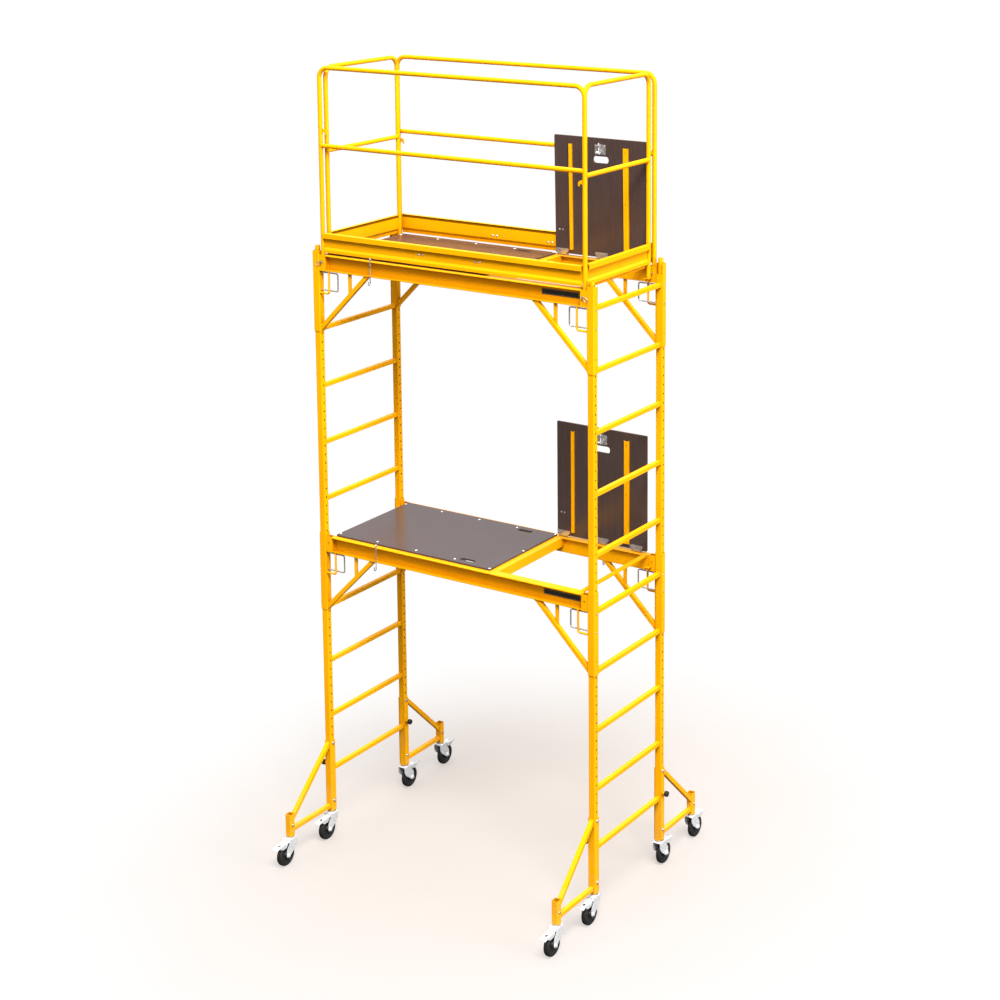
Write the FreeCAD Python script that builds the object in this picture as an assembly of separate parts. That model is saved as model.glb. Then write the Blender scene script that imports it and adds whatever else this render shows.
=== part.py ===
import FreeCAD, Part
import math
import os
from FreeCAD import Vector

# Two-level rolling baker scaffold with hatch platforms, guardrails, outriggers and casters.
# Millimetres, +Z up. Origin: centre of the footprint on the ground.
# +X runs along the long side towards the hatch end, +Y to the hinge side of the hatches.
# Left is -X, right is +X, front is -Y, back is +Y.
# Corner parts are modelled at the front right corner, or with the post centre at x = 0.

# ---------------------------------------------------------------- shared dimensions
BAY_X = 914.0            # post centre from the middle, along the long side
BAY_Y = 350.0            # post centre from the middle, across
POST = 38.1              # square post outside size
POST_WALL = 2.0
POST_R = 4.5             # outside corner radius
FRAME_Z0 = 161.0         # underside of the lower end frames
FRAME_H = 1651.0         # stacking pitch of the end frames
UPPER = FRAME_H          # rise from the lower level to the upper
HOLE_OFF = 65.6          # first post hole above the frame's bottom
PITCH = 50.8             # hole pitch
HOLE_R = 4.8
FIRST_HOLE_Z = HOLE_OFF + FRAME_Z0
KNOB_Z = 449.0           # height of the outrigger plunger

SLEEVE_T = 3.0           # channel sleeve sheet
SLEEVE_GAP = 0.2
SLEEVE_IN = POST / 2 + SLEEVE_GAP        # inner and outer half widths of a sleeve
SLEEVE_OUT = SLEEVE_IN + SLEEVE_T
SLEEVE_END_Y = 331.0     # where the open side of the channel ends
INNER_X = BAY_X - SLEEVE_OUT             # face of a platform sleeve towards the middle

BRACE = 25.4             # square tube of the platform braces and the outriggers
BRACE_WALL = 2.0
BRACE_R = 3.0

BEAM_Z0, BEAM_Z1 = 1761.5, 1853.0        # lower platform beams
WEB_IN = 334.0           # inner face of the beam web, across
FLANGE_OUT = 369.0       # outer edge of the beam flanges
DECK_T = 10.0
SOCKET_PIN_Z = 1814.0

GUARD_TOP = 4560.5       # guardrail heights
END_GUARD_FOOT = 3440.0

SIDES = (("left", -1), ("right", 1))
FACES = (("front", -1), ("back", 1))
LEVELS = (("lower", 0.0), ("upper", UPPER))
ALONG_X, ALONG_Y, ALONG_Z = (1, 0, 0), (0, 1, 0), (0, 0, 1)
DRILL_REACH = 40.0       # a drill runs this far each way from its centre


# ---------------------------------------------------------------- helpers
def outline(points, radii=None, closed=True):
    """Wire through the points, with each corner rounded to its radius."""
    count = len(points)
    if radii is None:
        radii = [0.0] * count
    elif not isinstance(radii, (list, tuple)):
        radii = [radii] * count
    points = [Vector(*point) for point in points]
    starts, ends, arcs = [], [], []
    for i, corner in enumerate(points):
        if radii[i] <= 0 or (not closed and i in (0, count - 1)):
            starts.append(corner)
            ends.append(corner)
            arcs.append(None)
            continue
        back = (points[i - 1] - corner).normalize()
        ahead = (points[(i + 1) % count] - corner).normalize()
        half_angle = back.getAngle(ahead) / 2.0
        tangent = radii[i] / math.tan(half_angle)
        bisector = (back + ahead).normalize()
        centre = corner + bisector * (radii[i] / math.sin(half_angle))
        start, end = corner + back * tangent, corner + ahead * tangent
        starts.append(start)
        ends.append(end)
        arcs.append((start, centre - bisector * radii[i], end))
    edges = []
    for i in range(count):
        if arcs[i]:
            edges.append(Part.Arc(*arcs[i]).toShape())
        if i == count - 1 and not closed:
            break
        following = starts[(i + 1) % count]
        if (following - ends[i]).Length > 1e-6:
            edges.append(Part.LineSegment(ends[i], following).toShape())
    return Part.Wire(edges)


def prism(points, radii, vector):
    return Part.Face(outline(points, radii)).extrude(Vector(*vector))


def prism_x(x, rows, length):
    """Extrude rows of (y, z, corner radius) along +X."""
    return prism([(x, y, z) for y, z, _ in rows], [radius for _, _, radius in rows], (length, 0, 0))


def box(x0, x1, y0, y1, z0, z1):
    x0, x1 = min(x0, x1), max(x0, x1)
    return Part.makeBox(x1 - x0, y1 - y0, z1 - z0, Vector(x0, y0, z0))


def cylinder(x, y, z, radius, length, axis):
    return Part.makeCylinder(radius, length, Vector(x, y, z), Vector(*axis))


def drill(x, y, z, radius, axis=ALONG_X):
    """Cutter centred on the point."""
    start = Vector(x, y, z) - Vector(*axis) * DRILL_REACH
    return Part.makeCylinder(radius, 2 * DRILL_REACH, start, Vector(*axis))


def rectangle(half_x, half_y):
    return [(-half_x, -half_y, 0), (half_x, -half_y, 0), (half_x, half_y, 0), (-half_x, half_y, 0)]


def tube(width, depth, wall, radius, length):
    """Rectangular tube along +Z from the origin."""
    outside = prism(rectangle(width / 2, depth / 2), radius, (0, 0, length))
    inside = prism(rectangle(width / 2 - wall, depth / 2 - wall), max(radius - wall, 0.4),
                   (0, 0, length))
    return outside.cut(inside)


def brace_tube(length):
    return tube(BRACE, BRACE, BRACE_WALL, BRACE_R, length)


def moved(shape, x=0.0, y=0.0, z=0.0):
    shape = shape.copy()
    shape.translate(Vector(x, y, z))
    return shape


def along(shape, start, end, up=ALONG_Z):
    """Place a shape modelled along +Z so that its axis runs from start towards end."""
    z = (Vector(*end) - Vector(*start)).normalize()
    x = Vector(*up).cross(z).normalize()
    y = z.cross(x)
    shape = shape.copy()
    shape.Placement = FreeCAD.Placement(FreeCAD.Matrix(
        x.x, y.x, z.x, start[0],
        x.y, y.y, z.y, start[1],
        x.z, y.z, z.z, start[2],
        0, 0, 0, 1))
    return shape


def pipe(points, bend, radius, bore=None):
    """Round bar through the points, or a tube where a bore radius is given."""
    path = outline(points, bend, closed=False)
    start = Vector(*points[0])
    direction = (Vector(*points[1]) - start).normalize()

    def sweep(section_r):
        section = Part.Wire([Part.Circle(start, direction, section_r).toShape()])
        return path.makePipeShell([section], True, True)
    bar = sweep(radius)
    return bar.cut(sweep(bore)) if bore else bar


def to_corner(shape, side, face):
    """Mirror a front right part to the corner with these signs of x and y."""
    if side < 0:
        shape = shape.mirror(Vector(0, 0, 0), Vector(1, 0, 0))
    if face > 0:
        shape = shape.mirror(Vector(0, 0, 0), Vector(0, 1, 0))
    return shape


def turned_to(shape, face, x, y=0.0):
    """Turn a front part half round for the back, then move it."""
    shape = shape.copy()
    if face > 0:
        shape.rotate(Vector(0, 0, 0), Vector(0, 0, 1), 180)
    shape.translate(Vector(x, y, 0))
    return shape


def hexagon(x, y, z, across_flats, length):
    """Hexagonal head or nut along +X."""
    radius = across_flats / math.sqrt(3.0)
    angles = [math.radians(60 * k + 30) for k in range(6)]
    return prism([(x, y + radius * math.cos(angle), z + radius * math.sin(angle))
                  for angle in angles], None, (length, 0, 0))


def dome(x, y, z, inset, radius, depth, facing):
    """Domed head on a face at y; its sphere is centred an inset below that face."""
    ball = Part.makeSphere(8.0, Vector(x, y - facing * inset, z))
    return ball.common(cylinder(x, y, z, radius, depth, (0, facing, 0)))


def fuse(shapes):
    return shapes[0].multiFuse(shapes[1:]).removeSplitter()


def picked_edges(shape, test):
    return [edge for edge in shape.Edges if test(edge.BoundBox)]


def fillet(shape, radius, test):
    return shape.makeFillet(radius, picked_edges(shape, test))


def chamfer(shape, size, test):
    return shape.makeChamfer(size, picked_edges(shape, test))


def save(name, shapes):
    solids = [solid for shape in shapes for solid in shape.Solids]
    Part.makeCompound(solids).exportStep(os.path.join("parts", name + ".step"))


os.makedirs("parts", exist_ok=True)
hardware = []            # zinc-plated steel fixed to the tower

# ---------------------------------------------------------------- end frames
HOLES = 31
PLUNGER_HOLE_R = 5.3
RUNG = 25.4              # square rung
RUNG_WALL = 1.8
RUNG_R = 3.0
RUNG_OFF = 255.5         # first rung above the frame's bottom
RUNG_PITCH = 334.3
RUNGS = 5
RUNG_END_Y = BAY_Y - POST / 2
PIN_R = 14.3             # stacking pin tube
PIN_WALL = 3.0
PIN_UP = 90.0            # reach above and below the joint
COLLAR_DEPTH = 26.0
COLLAR_HALF = POST / 2 - POST_WALL - 0.05


def drilled_post():
    return tube(POST, POST, POST_WALL, POST_R, FRAME_H).cut(Part.makeCompound(
        [drill(0, 0, HOLE_OFF + PITCH * k, HOLE_R) for k in range(HOLES)]))


def stacking_pin():
    """Tube with a collar that fits the post; the joint is at z = 0."""
    pin = cylinder(0, 0, -PIN_UP, PIN_R, 2 * PIN_UP, ALONG_Z).cut(
        cylinder(0, 0, -PIN_UP, PIN_R - PIN_WALL, 2 * PIN_UP, ALONG_Z))
    pin = chamfer(pin, 1.6,
                  lambda b: abs(b.ZMin - PIN_UP) < 1e-3 and b.XLength > 2 * PIN_R - 1)
    collar = box(-COLLAR_HALF, COLLAR_HALF, -COLLAR_HALF, COLLAR_HALF, -COLLAR_DEPTH, 0)
    collar = fillet(collar, 2.6, lambda b: b.ZLength > 20)
    collar = collar.cut(drill(0, 0, 0, PIN_R - 0.5, ALONG_Z))
    pin = pin.fuse(collar).removeSplitter()
    last_hole = HOLE_OFF + PITCH * (HOLES - 1)
    for z in (HOLE_OFF, last_hole - FRAME_H):
        pin = pin.cut(drill(0, 0, z, HOLE_R))
    return pin


def end_frame(side, level, base_z):
    x = side * BAY_X
    posts = []
    for _, face in FACES:
        one_post = moved(post, x, face * BAY_Y, base_z)
        if level == "lower":
            # hole in the wall that faces the outrigger's knob
            one_post = one_post.cut(
                cylinder(x, face * BAY_Y, KNOB_Z, PLUNGER_HOLE_R, 30, (face, 0, 0)))
        posts.append(one_post)
    heights = [base_z + RUNG_OFF + RUNG_PITCH * k for k in range(RUNGS)]
    rungs = [along(rung, (x, -RUNG_END_Y, z), (x, RUNG_END_Y, z)) for z in heights]
    pins = [moved(stack_pin, x, face * BAY_Y, base_z + FRAME_H) for _, face in FACES]
    return posts + rungs + pins


post = drilled_post()
rung = tube(RUNG, RUNG, RUNG_WALL, RUNG_R, 2 * RUNG_END_Y)
stack_pin = stacking_pin()
for side_name, side in SIDES:
    for level, rise in LEVELS:
        save("%s_%s_end_frame" % (side_name, level), end_frame(side, level, FRAME_Z0 + rise))


# ---------------------------------------------------------------- channel sleeve round a post
def sleeve(z0, z1):
    """Channel round the front post at x = 0, open towards +Y."""
    rows = [  # x, y, corner radius
        (-SLEEVE_OUT, -SLEEVE_END_Y, 0), (-SLEEVE_OUT, -(BAY_Y + SLEEVE_OUT), 5.0),
        (SLEEVE_OUT, -(BAY_Y + SLEEVE_OUT), 5.0), (SLEEVE_OUT, -SLEEVE_END_Y, 0),
        (SLEEVE_IN, -SLEEVE_END_Y, 0), (SLEEVE_IN, -(BAY_Y + SLEEVE_IN), 2.2),
        (-SLEEVE_IN, -(BAY_Y + SLEEVE_IN), 2.2), (-SLEEVE_IN, -SLEEVE_END_Y, 0)]
    return prism([(x, y, z0) for x, y, _ in rows], [row[2] for row in rows], (0, 0, z1 - z0))


# ---------------------------------------------------------------- platform frames
# Modelled at the lower level, then copied up.
SLEEVE_Z0, SLEEVE_Z1 = 1409.0, 1874.0
SLEEVE_SMALL_HOLE_Z, SLEEVE_SMALL_HOLE_R = 1486.0, 4.0
LOCK_Z = (1649.0, 1750.6)        # legs of the platform lock pins
BEAM_T = 3.0
BEAM_X = 849.5                   # half length
WEB_OUT = 337.0
LEDGE_IN = 315.0
LIP = 8.0                        # height of the bottom flange's lip
TOP_LIP = 6.5
NOTCH_X = 838.0                  # the ledge is cut away beyond this
SOCKET_T = 2.5                   # guardrail socket between beam end and sleeve
SOCKET_X = (BEAM_X + INNER_X) / 2
SOCKET_Y = -(WEB_IN + FLANGE_OUT) / 2
CROSS_X = (213.0, 283.0)         # deep member at the hatch opening
CROSS_H = 52.0
END_RAIL_X = (815.0, 840.0)
END_RAIL_H = 10.0
JOISTS = (-563.0, -290.0, -22.0)
JOIST_HALF, JOIST_H = 12.5, 25.0
BRACE_LOW = (892.0, 1431.0)      # x, z on the brace's centre line
BRACE_TOP = (561.0, 1761.5)
BRACE_OVER = 30.0                # overrun at each end before trimming
BRACE_STOCK = 560.0
STRUT_X, STRUT_W, STRUT_D, STRUT_Z0 = 687.0, 20.0, 11.0, 1560.0
ROD_X, ROD_Y, ROD_Z, ROD_R = 827.0, 362.0, 1634.0, 6.0     # bent rod below the beam
SEAT_T, SEAT_RIB = 3.0, 21.0     # plate under an end guardrail post, and the rib below it
SCREW_R = 2.6
SCREW_Y = 306.0
SCREW_XY = [(x, face * SCREW_Y) for x in (-831.0,) + JOISTS for face in (-1, 1)]
SCREW_XY += [(230.0, -328.0), (230.0, 328.0), (230.0, 0.0)]


def beam():
    z0, z1, t = BEAM_Z0, BEAM_Z1, BEAM_T
    shape = prism_x(-BEAM_X, [  # y, z, corner radius
        (-FLANGE_OUT, z0, 3.5), (-FLANGE_OUT, z0 + LIP, 0), (-FLANGE_OUT + t, z0 + LIP, 0),
        (-FLANGE_OUT + t, z0 + t, 0.8), (-WEB_OUT, z0 + t, 1.5), (-WEB_OUT, z1 - t, 1.5),
        (-FLANGE_OUT + t, z1 - t, 0.8), (-FLANGE_OUT + t, z1 - TOP_LIP, 0),
        (-FLANGE_OUT, z1 - TOP_LIP, 0), (-FLANGE_OUT, z1, 3.5), (-LEDGE_IN, z1, 0.8),
        (-LEDGE_IN, z1 - t, 0), (-WEB_IN, z1 - t, 1.2), (-WEB_IN, z0, 3.5)], 2 * BEAM_X)
    for side in (-1, 1):
        shape = shape.cut(box(side * NOTCH_X, side * (BEAM_X + 1), -WEB_IN, -LEDGE_IN + 1,
                              z1 - t - 1, z1 + 1))
    return shape


def cross_member(x0, x1, height, wall):
    """Member under the ledges and flush with their top between them."""
    z1 = BEAM_Z1
    shape = fuse([box(x0, x1, -WEB_IN, WEB_IN, z1 - height, z1 - BEAM_T),
                  box(x0, x1, -LEDGE_IN, LEDGE_IN, z1 - BEAM_T - 1, z1)])
    floor = wall if height < 30 else -1      # the deep member is open below
    return shape.cut(box(x0 + wall, x1 - wall, -WEB_IN, WEB_IN,
                         z1 - height + floor, z1 - BEAM_T - 0.4))


def socket():
    shape = moved(tube(2 * (SOCKET_X - BEAM_X), FLANGE_OUT - WEB_IN, SOCKET_T, 3.5,
                       BEAM_Z1 - BEAM_Z0), SOCKET_X, SOCKET_Y, BEAM_Z0)
    return shape.cut(drill(SOCKET_X, SOCKET_Y, SOCKET_PIN_Z, 5.0, ALONG_Y))


def platform_sleeve():
    shape = moved(sleeve(SLEEVE_Z0, SLEEVE_Z1), BAY_X)
    shape = shape.cut(Part.makeCompound([drill(BAY_X, -BAY_Y, z, HOLE_R) for z in LOCK_Z]))
    return shape.cut(cylinder(BAY_X, -BAY_Y, SLEEVE_SMALL_HOLE_Z, SLEEVE_SMALL_HOLE_R, 40, ALONG_X))


def on_brace_line(shape):
    return along(shape, (BRACE_LOW[0] + BRACE_OVER, -BAY_Y, BRACE_LOW[1] - BRACE_OVER),
                 (BRACE_TOP[0] - BRACE_OVER, -BAY_Y, BRACE_TOP[1] + BRACE_OVER), up=ALONG_Y)


def brace():
    return on_brace_line(brace_tube(BRACE_STOCK)).common(
        box(400, INNER_X, -400, -300, 1300, BEAM_Z0))


def strut():
    """Short upright between the brace and the beam."""
    shape = box(STRUT_X - STRUT_W / 2, STRUT_X + STRUT_W / 2,
                -BAY_Y - STRUT_D / 2, -BAY_Y + STRUT_D / 2, STRUT_Z0, BEAM_Z0)
    shape = fillet(shape, 2.0, lambda b: b.ZLength > 100)
    shape = shape.cut(on_brace_line(
        prism(rectangle(BRACE / 2, BRACE / 2), BRACE_R, (0, 0, BRACE_STOCK))))
    return max(shape.Solids, key=lambda solid: solid.BoundBox.ZMax)


def bent_rod():
    return pipe([(ROD_X, -ROD_Y, BEAM_Z0), (ROD_X, -ROD_Y, ROD_Z), (INNER_X, -ROD_Y, ROD_Z)],
                14.0, ROD_R)


def guardrail_seat():
    top = END_GUARD_FOOT - UPPER
    under = top - SEAT_T
    return fuse([box(836, 868, -WEB_IN, -302, under, top),
                 box(850, 853, -WEB_IN, -310, under - SEAT_RIB, under)])


def platform_frame():
    one_beam = beam()
    members = [to_corner(one_beam, 1, face) for _, face in FACES]
    members.append(cross_member(*CROSS_X, CROSS_H, 3.0))
    members.append(cross_member(*END_RAIL_X, END_RAIL_H, 2.0))
    members.append(cross_member(-END_RAIL_X[1], -END_RAIL_X[0], END_RAIL_H, 2.0))
    for x in JOISTS:
        members.append(cross_member(x - JOIST_HALF, x + JOIST_HALF, JOIST_H, 2.0))
    members = [member.cut(screw_holes) for member in members]
    corner = (platform_sleeve(), socket(), brace(), strut(), bent_rod(), guardrail_seat())
    for _, side in SIDES:
        for _, face in FACES:
            members += [to_corner(piece, side, face) for piece in corner]
    return members


screw_holes = Part.makeCompound(
    [cylinder(x, y, BEAM_Z1 - 9.0, SCREW_R, DECK_T + 9.0, ALONG_Z) for x, y in SCREW_XY])
platform = platform_frame()
for level, rise in LEVELS:
    save("%s_platform_frame" % level, [moved(piece, z=rise) for piece in platform])

# ---------------------------------------------------------------- decks
DECK_X0, DECK_X1, DECK_Y = -838.0, 238.0, 338.0
SLOT_X, SLOT_Y = 50.0, 283.0     # centre of each slot
SLOT_HALF_X, SLOT_HALF_Y, SLOT_R = 50.0, 15.0, 14.5
HEAD_R, HEAD_H = 6.8, 3.6        # countersunk screw head
SCREW_DEPTH = 8.0                # below the deck


def screw_head(x, y):
    return Part.makeCone(SCREW_R, HEAD_R, HEAD_H, Vector(x, y, BEAM_Z1 + DECK_T - HEAD_H))


def deck_panel():
    deck = box(DECK_X0, DECK_X1, -DECK_Y, DECK_Y, BEAM_Z1, BEAM_Z1 + DECK_T)
    deck = fillet(deck, 6.0, lambda b: b.ZLength > 5)
    slot = prism(rectangle(SLOT_HALF_X, SLOT_HALF_Y), SLOT_R, (0, 0, DECK_T + 2))
    for face in (-1, 1):
        deck = deck.cut(moved(slot, SLOT_X, face * SLOT_Y, BEAM_Z1 - 1))
    deck = deck.cut(screw_holes)
    return deck.cut(Part.makeCompound([screw_head(x, y) for x, y in SCREW_XY]))


def deck_screw(x, y):
    return fuse([screw_head(x, y), cylinder(x, y, BEAM_Z1 - SCREW_DEPTH, SCREW_R,
                                            DECK_T + SCREW_DEPTH - HEAD_H, ALONG_Z)])


deck = deck_panel()
for level, rise in LEVELS:
    save("%s_deck_panel" % level, [moved(deck, z=rise)])
    hardware += [moved(deck_screw(x, y), z=rise) for x, y in SCREW_XY]

# ---------------------------------------------------------------- hatches, standing open
HINGE_Y, HINGE_Z = 343.0, 1860.2
HINGES_X = (281.0, 541.0, 766.0)
HATCH_X0, HATCH_X1 = 239.0, 835.0
HATCH_Y0, HATCH_Y1 = 338.0, 348.0    # the face at Y0 is the underside when shut
HATCH_Z0, HATCH_Z1 = 1866.0, 2536.0
HATCH_LEAN = {"lower": 0.0, "upper": 1.1}    # degrees forward; the upper clears the guardrail
GRIP_X, GRIP_Z = 543.0, HINGE_Z + 555.0      # centre of the hand slot
GRIP_HALF_X, GRIP_HALF_Z, GRIP_R = 50.0, 19.0, 16.0
LEAF_T = 2.0
LEAF_Z0, LEAF_Z1 = 1862.0, 1893.0
LEAF_BOTTOM_HALF, LEAF_TOP_HALF = 27.0, 43.0
KNUCKLE_R = 4.5
LEAF_KNUCKLES = ((-20.0, 12.0), (20.0, 12.0))               # x offset, width
FIXED_KNUCKLES = ((-31.0, 9.0), (0.0, 26.0), (31.0, 9.0))
HINGE_PIN_R, HINGE_PIN_HALF = 2.0, 37.0
LEAF_HEADS = ((-30.0, 1884.0), (0.0, 1883.0), (30.0, 1884.0))     # x offset, z
STIFFENER_D, STIFFENER_T = 12.0, 2.0
# centre x, width, hole heights above the hinge
STIFFENERS = ((347.5, 19.0, ()), (707.0, 31.0, (605.0, 320.0, 60.0)))
LATCH_X = 536.0
BOLT_Y = HATCH_Y0 - 9.0
BOLT_R = 3.15
BOLT_Z0, BOLT_Z1 = HINGE_Z + 583.0, HINGE_Z + 649.0
HANDLE_Z = HINGE_Z + 600.0
STAPLE_W = 7.0
STAPLES_Z = (HINGE_Z + 588.5, HINGE_Z + 633.5)


def hinge_leaf(hinge_x):
    rows = [  # x offset, z, corner radius
        (-LEAF_BOTTOM_HALF, LEAF_Z0, 1), (-LEAF_TOP_HALF, LEAF_Z1 - 10, 6),
        (-LEAF_TOP_HALF, LEAF_Z1, 6), (LEAF_TOP_HALF, LEAF_Z1, 6),
        (LEAF_TOP_HALF, LEAF_Z1 - 10, 6), (LEAF_BOTTOM_HALF, LEAF_Z0, 1)]
    parts = [prism([(hinge_x + x, HATCH_Y0, z) for x, z, _ in rows],
                   [row[2] for row in rows], (0, -LEAF_T, 0))]
    for offset, width in LEAF_KNUCKLES:
        x = hinge_x + offset - width / 2
        parts.append(cylinder(x, HINGE_Y, HINGE_Z, KNUCKLE_R, width, ALONG_X))
        parts.append(box(x, x + width, HATCH_Y0 - LEAF_T, HINGE_Y, HINGE_Z, HINGE_Z + 3.6))
    leaf = fuse(parts).cut(drill(hinge_x, HINGE_Y, HINGE_Z, HINGE_PIN_R + 0.1))
    return leaf.cut(Part.makeCompound(leaf_heads(hinge_x)))


def leaf_heads(hinge_x):
    """Flush screw heads, so that the leaf clears the beam's ledge when the hatch is shut."""
    return [cylinder(hinge_x + offset, HATCH_Y0 - LEAF_T, z, 5.0, 1.3, ALONG_Y)
            for offset, z in LEAF_HEADS]


def fixed_hinge(hinge_x):
    """Base plate with knuckles on the beam, and the hinge pin."""
    parts = [box(hinge_x - 30, hinge_x + 30, 345.2, 349.4, BEAM_Z1, BEAM_Z1 + 2)]
    for offset, width in FIXED_KNUCKLES:
        x = hinge_x + offset - width / 2
        parts.append(cylinder(x, HINGE_Y, HINGE_Z, KNUCKLE_R, width, ALONG_X))
        parts.append(box(x, x + width, HINGE_Y + 2.2, HINGE_Y + KNUCKLE_R, BEAM_Z1 + 1, HINGE_Z))
    base = fuse(parts).cut(drill(hinge_x, HINGE_Y, HINGE_Z, HINGE_PIN_R))
    return [base, cylinder(hinge_x - HINGE_PIN_HALF, HINGE_Y, HINGE_Z, HINGE_PIN_R,
                           2 * HINGE_PIN_HALF, ALONG_X)]


def hatch_panel():
    panel = box(HATCH_X0, HATCH_X1, HATCH_Y0, HATCH_Y1, HATCH_Z0, HATCH_Z1)
    panel = fillet(panel, 6.0, lambda b: b.YLength > 9)
    return panel.cut(prism([(GRIP_X + x * GRIP_HALF_X, 330, GRIP_Z + z * GRIP_HALF_Z)
                            for x, z in ((-1, -1), (1, -1), (1, 1), (-1, 1))],
                           GRIP_R, (0, 30, 0)))


def stiffener(x, width, holes):
    """Shallow channel, open towards the panel."""
    front = HATCH_Y0 - STIFFENER_D
    shape = box(x - width / 2, x + width / 2, front, HATCH_Y0, HINGE_Z + 32, HINGE_Z + 631)
    shape = fillet(shape, 2.5, lambda b: b.ZLength > 100 and b.YMin < HATCH_Y0 - 1)
    inner_half = width / 2 - STIFFENER_T
    shape = shape.cut(box(x - inner_half, x + inner_half, front + STIFFENER_T, HATCH_Y0 + 1,
                          HINGE_Z, HINGE_Z + 700))
    for height in holes:
        shape = shape.cut(cylinder(x, front - 2, HINGE_Z + height, 3.4, 5, ALONG_Y))
    return shape


def staple(z):
    shape = box(LATCH_X - 8, LATCH_X + 8, BOLT_Y - 6.5, HATCH_Y0 - 2,
                z - STAPLE_W / 2, z + STAPLE_W / 2)
    shape = fillet(shape, 4.0, lambda b: b.ZLength > STAPLE_W - 1 and b.YMin < BOLT_Y - 5)
    return shape.cut(drill(LATCH_X, BOLT_Y, z, 3.3, ALONG_Z))


def latch_base():
    plate = box(505, 575, HATCH_Y0 - 2, HATCH_Y0, HINGE_Z + 583, HINGE_Z + 640)
    plate = fillet(plate, 4.0, lambda b: 1.5 < b.YLength < 2.5)
    return fuse([plate] + [staple(z) for z in STAPLES_Z])


def latch_bolt():
    bolt = cylinder(LATCH_X, BOLT_Y, BOLT_Z0, BOLT_R, BOLT_Z1 - BOLT_Z0, ALONG_Z)
    bolt = chamfer(bolt, 0.8, lambda b: abs(b.ZMin - BOLT_Z1) < 1e-3)
    handle = fuse([cylinder(LATCH_X, BOLT_Y, HANDLE_Z, 3.0, 17.0, (0, -1, 0)),
                   Part.makeSphere(5.5, Vector(LATCH_X, BOLT_Y - 18.0, HANDLE_Z))])
    return fuse([bolt, handle])


def hatch_ironwork():
    def screw_dome(x, height, y):
        return dome(x, y, HINGE_Z + height, inset=6.2, radius=5.0, depth=5, facing=-1)
    parts = [hinge_leaf(x) for x in HINGES_X]
    parts += [stiffener(*row) for row in STIFFENERS]
    parts.append(latch_base())
    for x in HINGES_X:
        parts += leaf_heads(x)
    parts += [screw_dome(x, 139.0, HATCH_Y0) for x in (265.0, 287.0)]
    parts += [screw_dome(x, height, HATCH_Y0 - 2)
              for x in (512.0, 568.0) for height in (591.0, 631.0)]
    return parts


def leaned(shape, level, rise):
    shape = shape.copy()
    shape.rotate(Vector(0, HINGE_Y, HINGE_Z), Vector(1, 0, 0), HATCH_LEAN[level])
    shape.translate(Vector(0, 0, rise))
    return shape


hatch_parts = (("panel", [hatch_panel()]), ("ironwork", hatch_ironwork()),
               ("latch", [latch_bolt()]))
for level, rise in LEVELS:
    for part_name, shapes in hatch_parts:
        save("%s_hatch_%s" % (level, part_name), [leaned(s, level, rise) for s in shapes])
    for x in HINGES_X:
        hardware += [moved(shape, z=rise) for shape in fixed_hinge(x)]

# ---------------------------------------------------------------- guardrails (upper level)
RAIL_R, RAIL_WALL = 12.7, 1.8
GUARD_BEND = 58.0
LONG_HALF, LONG_Y = 872.0, 351.5     # front and back panels: post x, panel y
LONG_FOOT, LONG_MID = 3418.0, 4122.5
END_HALF, END_X = 321.0, 853.0       # end panels: post y, panel x
END_MID = 4092.5
HOOK_T = 6.0
HOOK_Z = {(-1, -1): 4204.0, (1, -1): 4060.0, (-1, 1): 4065.0, (1, 1): 4125.0}    # (side, face)
HOOK_ROWS = [  # distance in from the post's inner edge, height, corner radius
    (-4, 9, 0), (10, 15, 5), (23, 9, 6), (27, -2, 4), (27, -17, 2),
    (18, -17, 2), (17, -3, 4), (8, -5, 4), (-4, -11, 0)]


def guardrail(half, foot_z, mid_z):
    """Bent frame and middle rail in the plane y = 0."""
    bore = RAIL_R - RAIL_WALL
    frame = pipe([(-half, 0, foot_z), (-half, 0, GUARD_TOP), (half, 0, GUARD_TOP),
                  (half, 0, foot_z)], GUARD_BEND, RAIL_R, bore)
    middle = cylinder(-half, 0, mid_z, RAIL_R, 2 * half, ALONG_X).cut(
        cylinder(-half, 0, mid_z, bore, 2 * half, ALONG_X))
    for side in (-1, 1):
        middle = middle.cut(drill(side * half, 0, mid_z, RAIL_R, ALONG_Z))
    return frame, middle


def hook_plate(side, face):
    """Flat plate on a post, reaching in along the panel and turned down at its end."""
    edge_x = LONG_HALF - RAIL_R
    y, z = face * LONG_Y, HOOK_Z[(side, face)]
    plate = prism([(side * (edge_x - inward), -HOOK_T / 2, z + up) for inward, up, _ in HOOK_ROWS],
                  [row[2] for row in HOOK_ROWS], (0, HOOK_T, 0))
    plate = moved(plate, y=y).cut(drill(side * LONG_HALF, y, z, RAIL_R, ALONG_Z))
    plate = plate.cut(cylinder(-LONG_HALF, y, LONG_MID, RAIL_R, 2 * LONG_HALF, ALONG_X))
    return max(plate.Solids, key=lambda solid: solid.Volume)


frame, middle = guardrail(LONG_HALF, LONG_FOOT, LONG_MID)
for side in (-1, 1):
    frame = frame.cut(drill(side * SOCKET_X, 0, SOCKET_PIN_Z + UPPER, 4.6, ALONG_Y))
for face_name, face in FACES:
    hooks = [hook_plate(side, face) for _, side in SIDES]
    save("%s_guardrail" % face_name,
         [moved(shape, y=face * LONG_Y) for shape in (frame, middle)] + hooks)

end_panel = guardrail(END_HALF, END_GUARD_FOOT, END_MID)
for side_name, side in SIDES:
    shapes = [shape.copy() for shape in end_panel]
    for shape in shapes:
        shape.Placement = FreeCAD.Placement(Vector(side * END_X, 0, 0),
                                            FreeCAD.Rotation(Vector(0, 0, 1), 90))
    save("%s_guardrail" % side_name, shapes)

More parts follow.
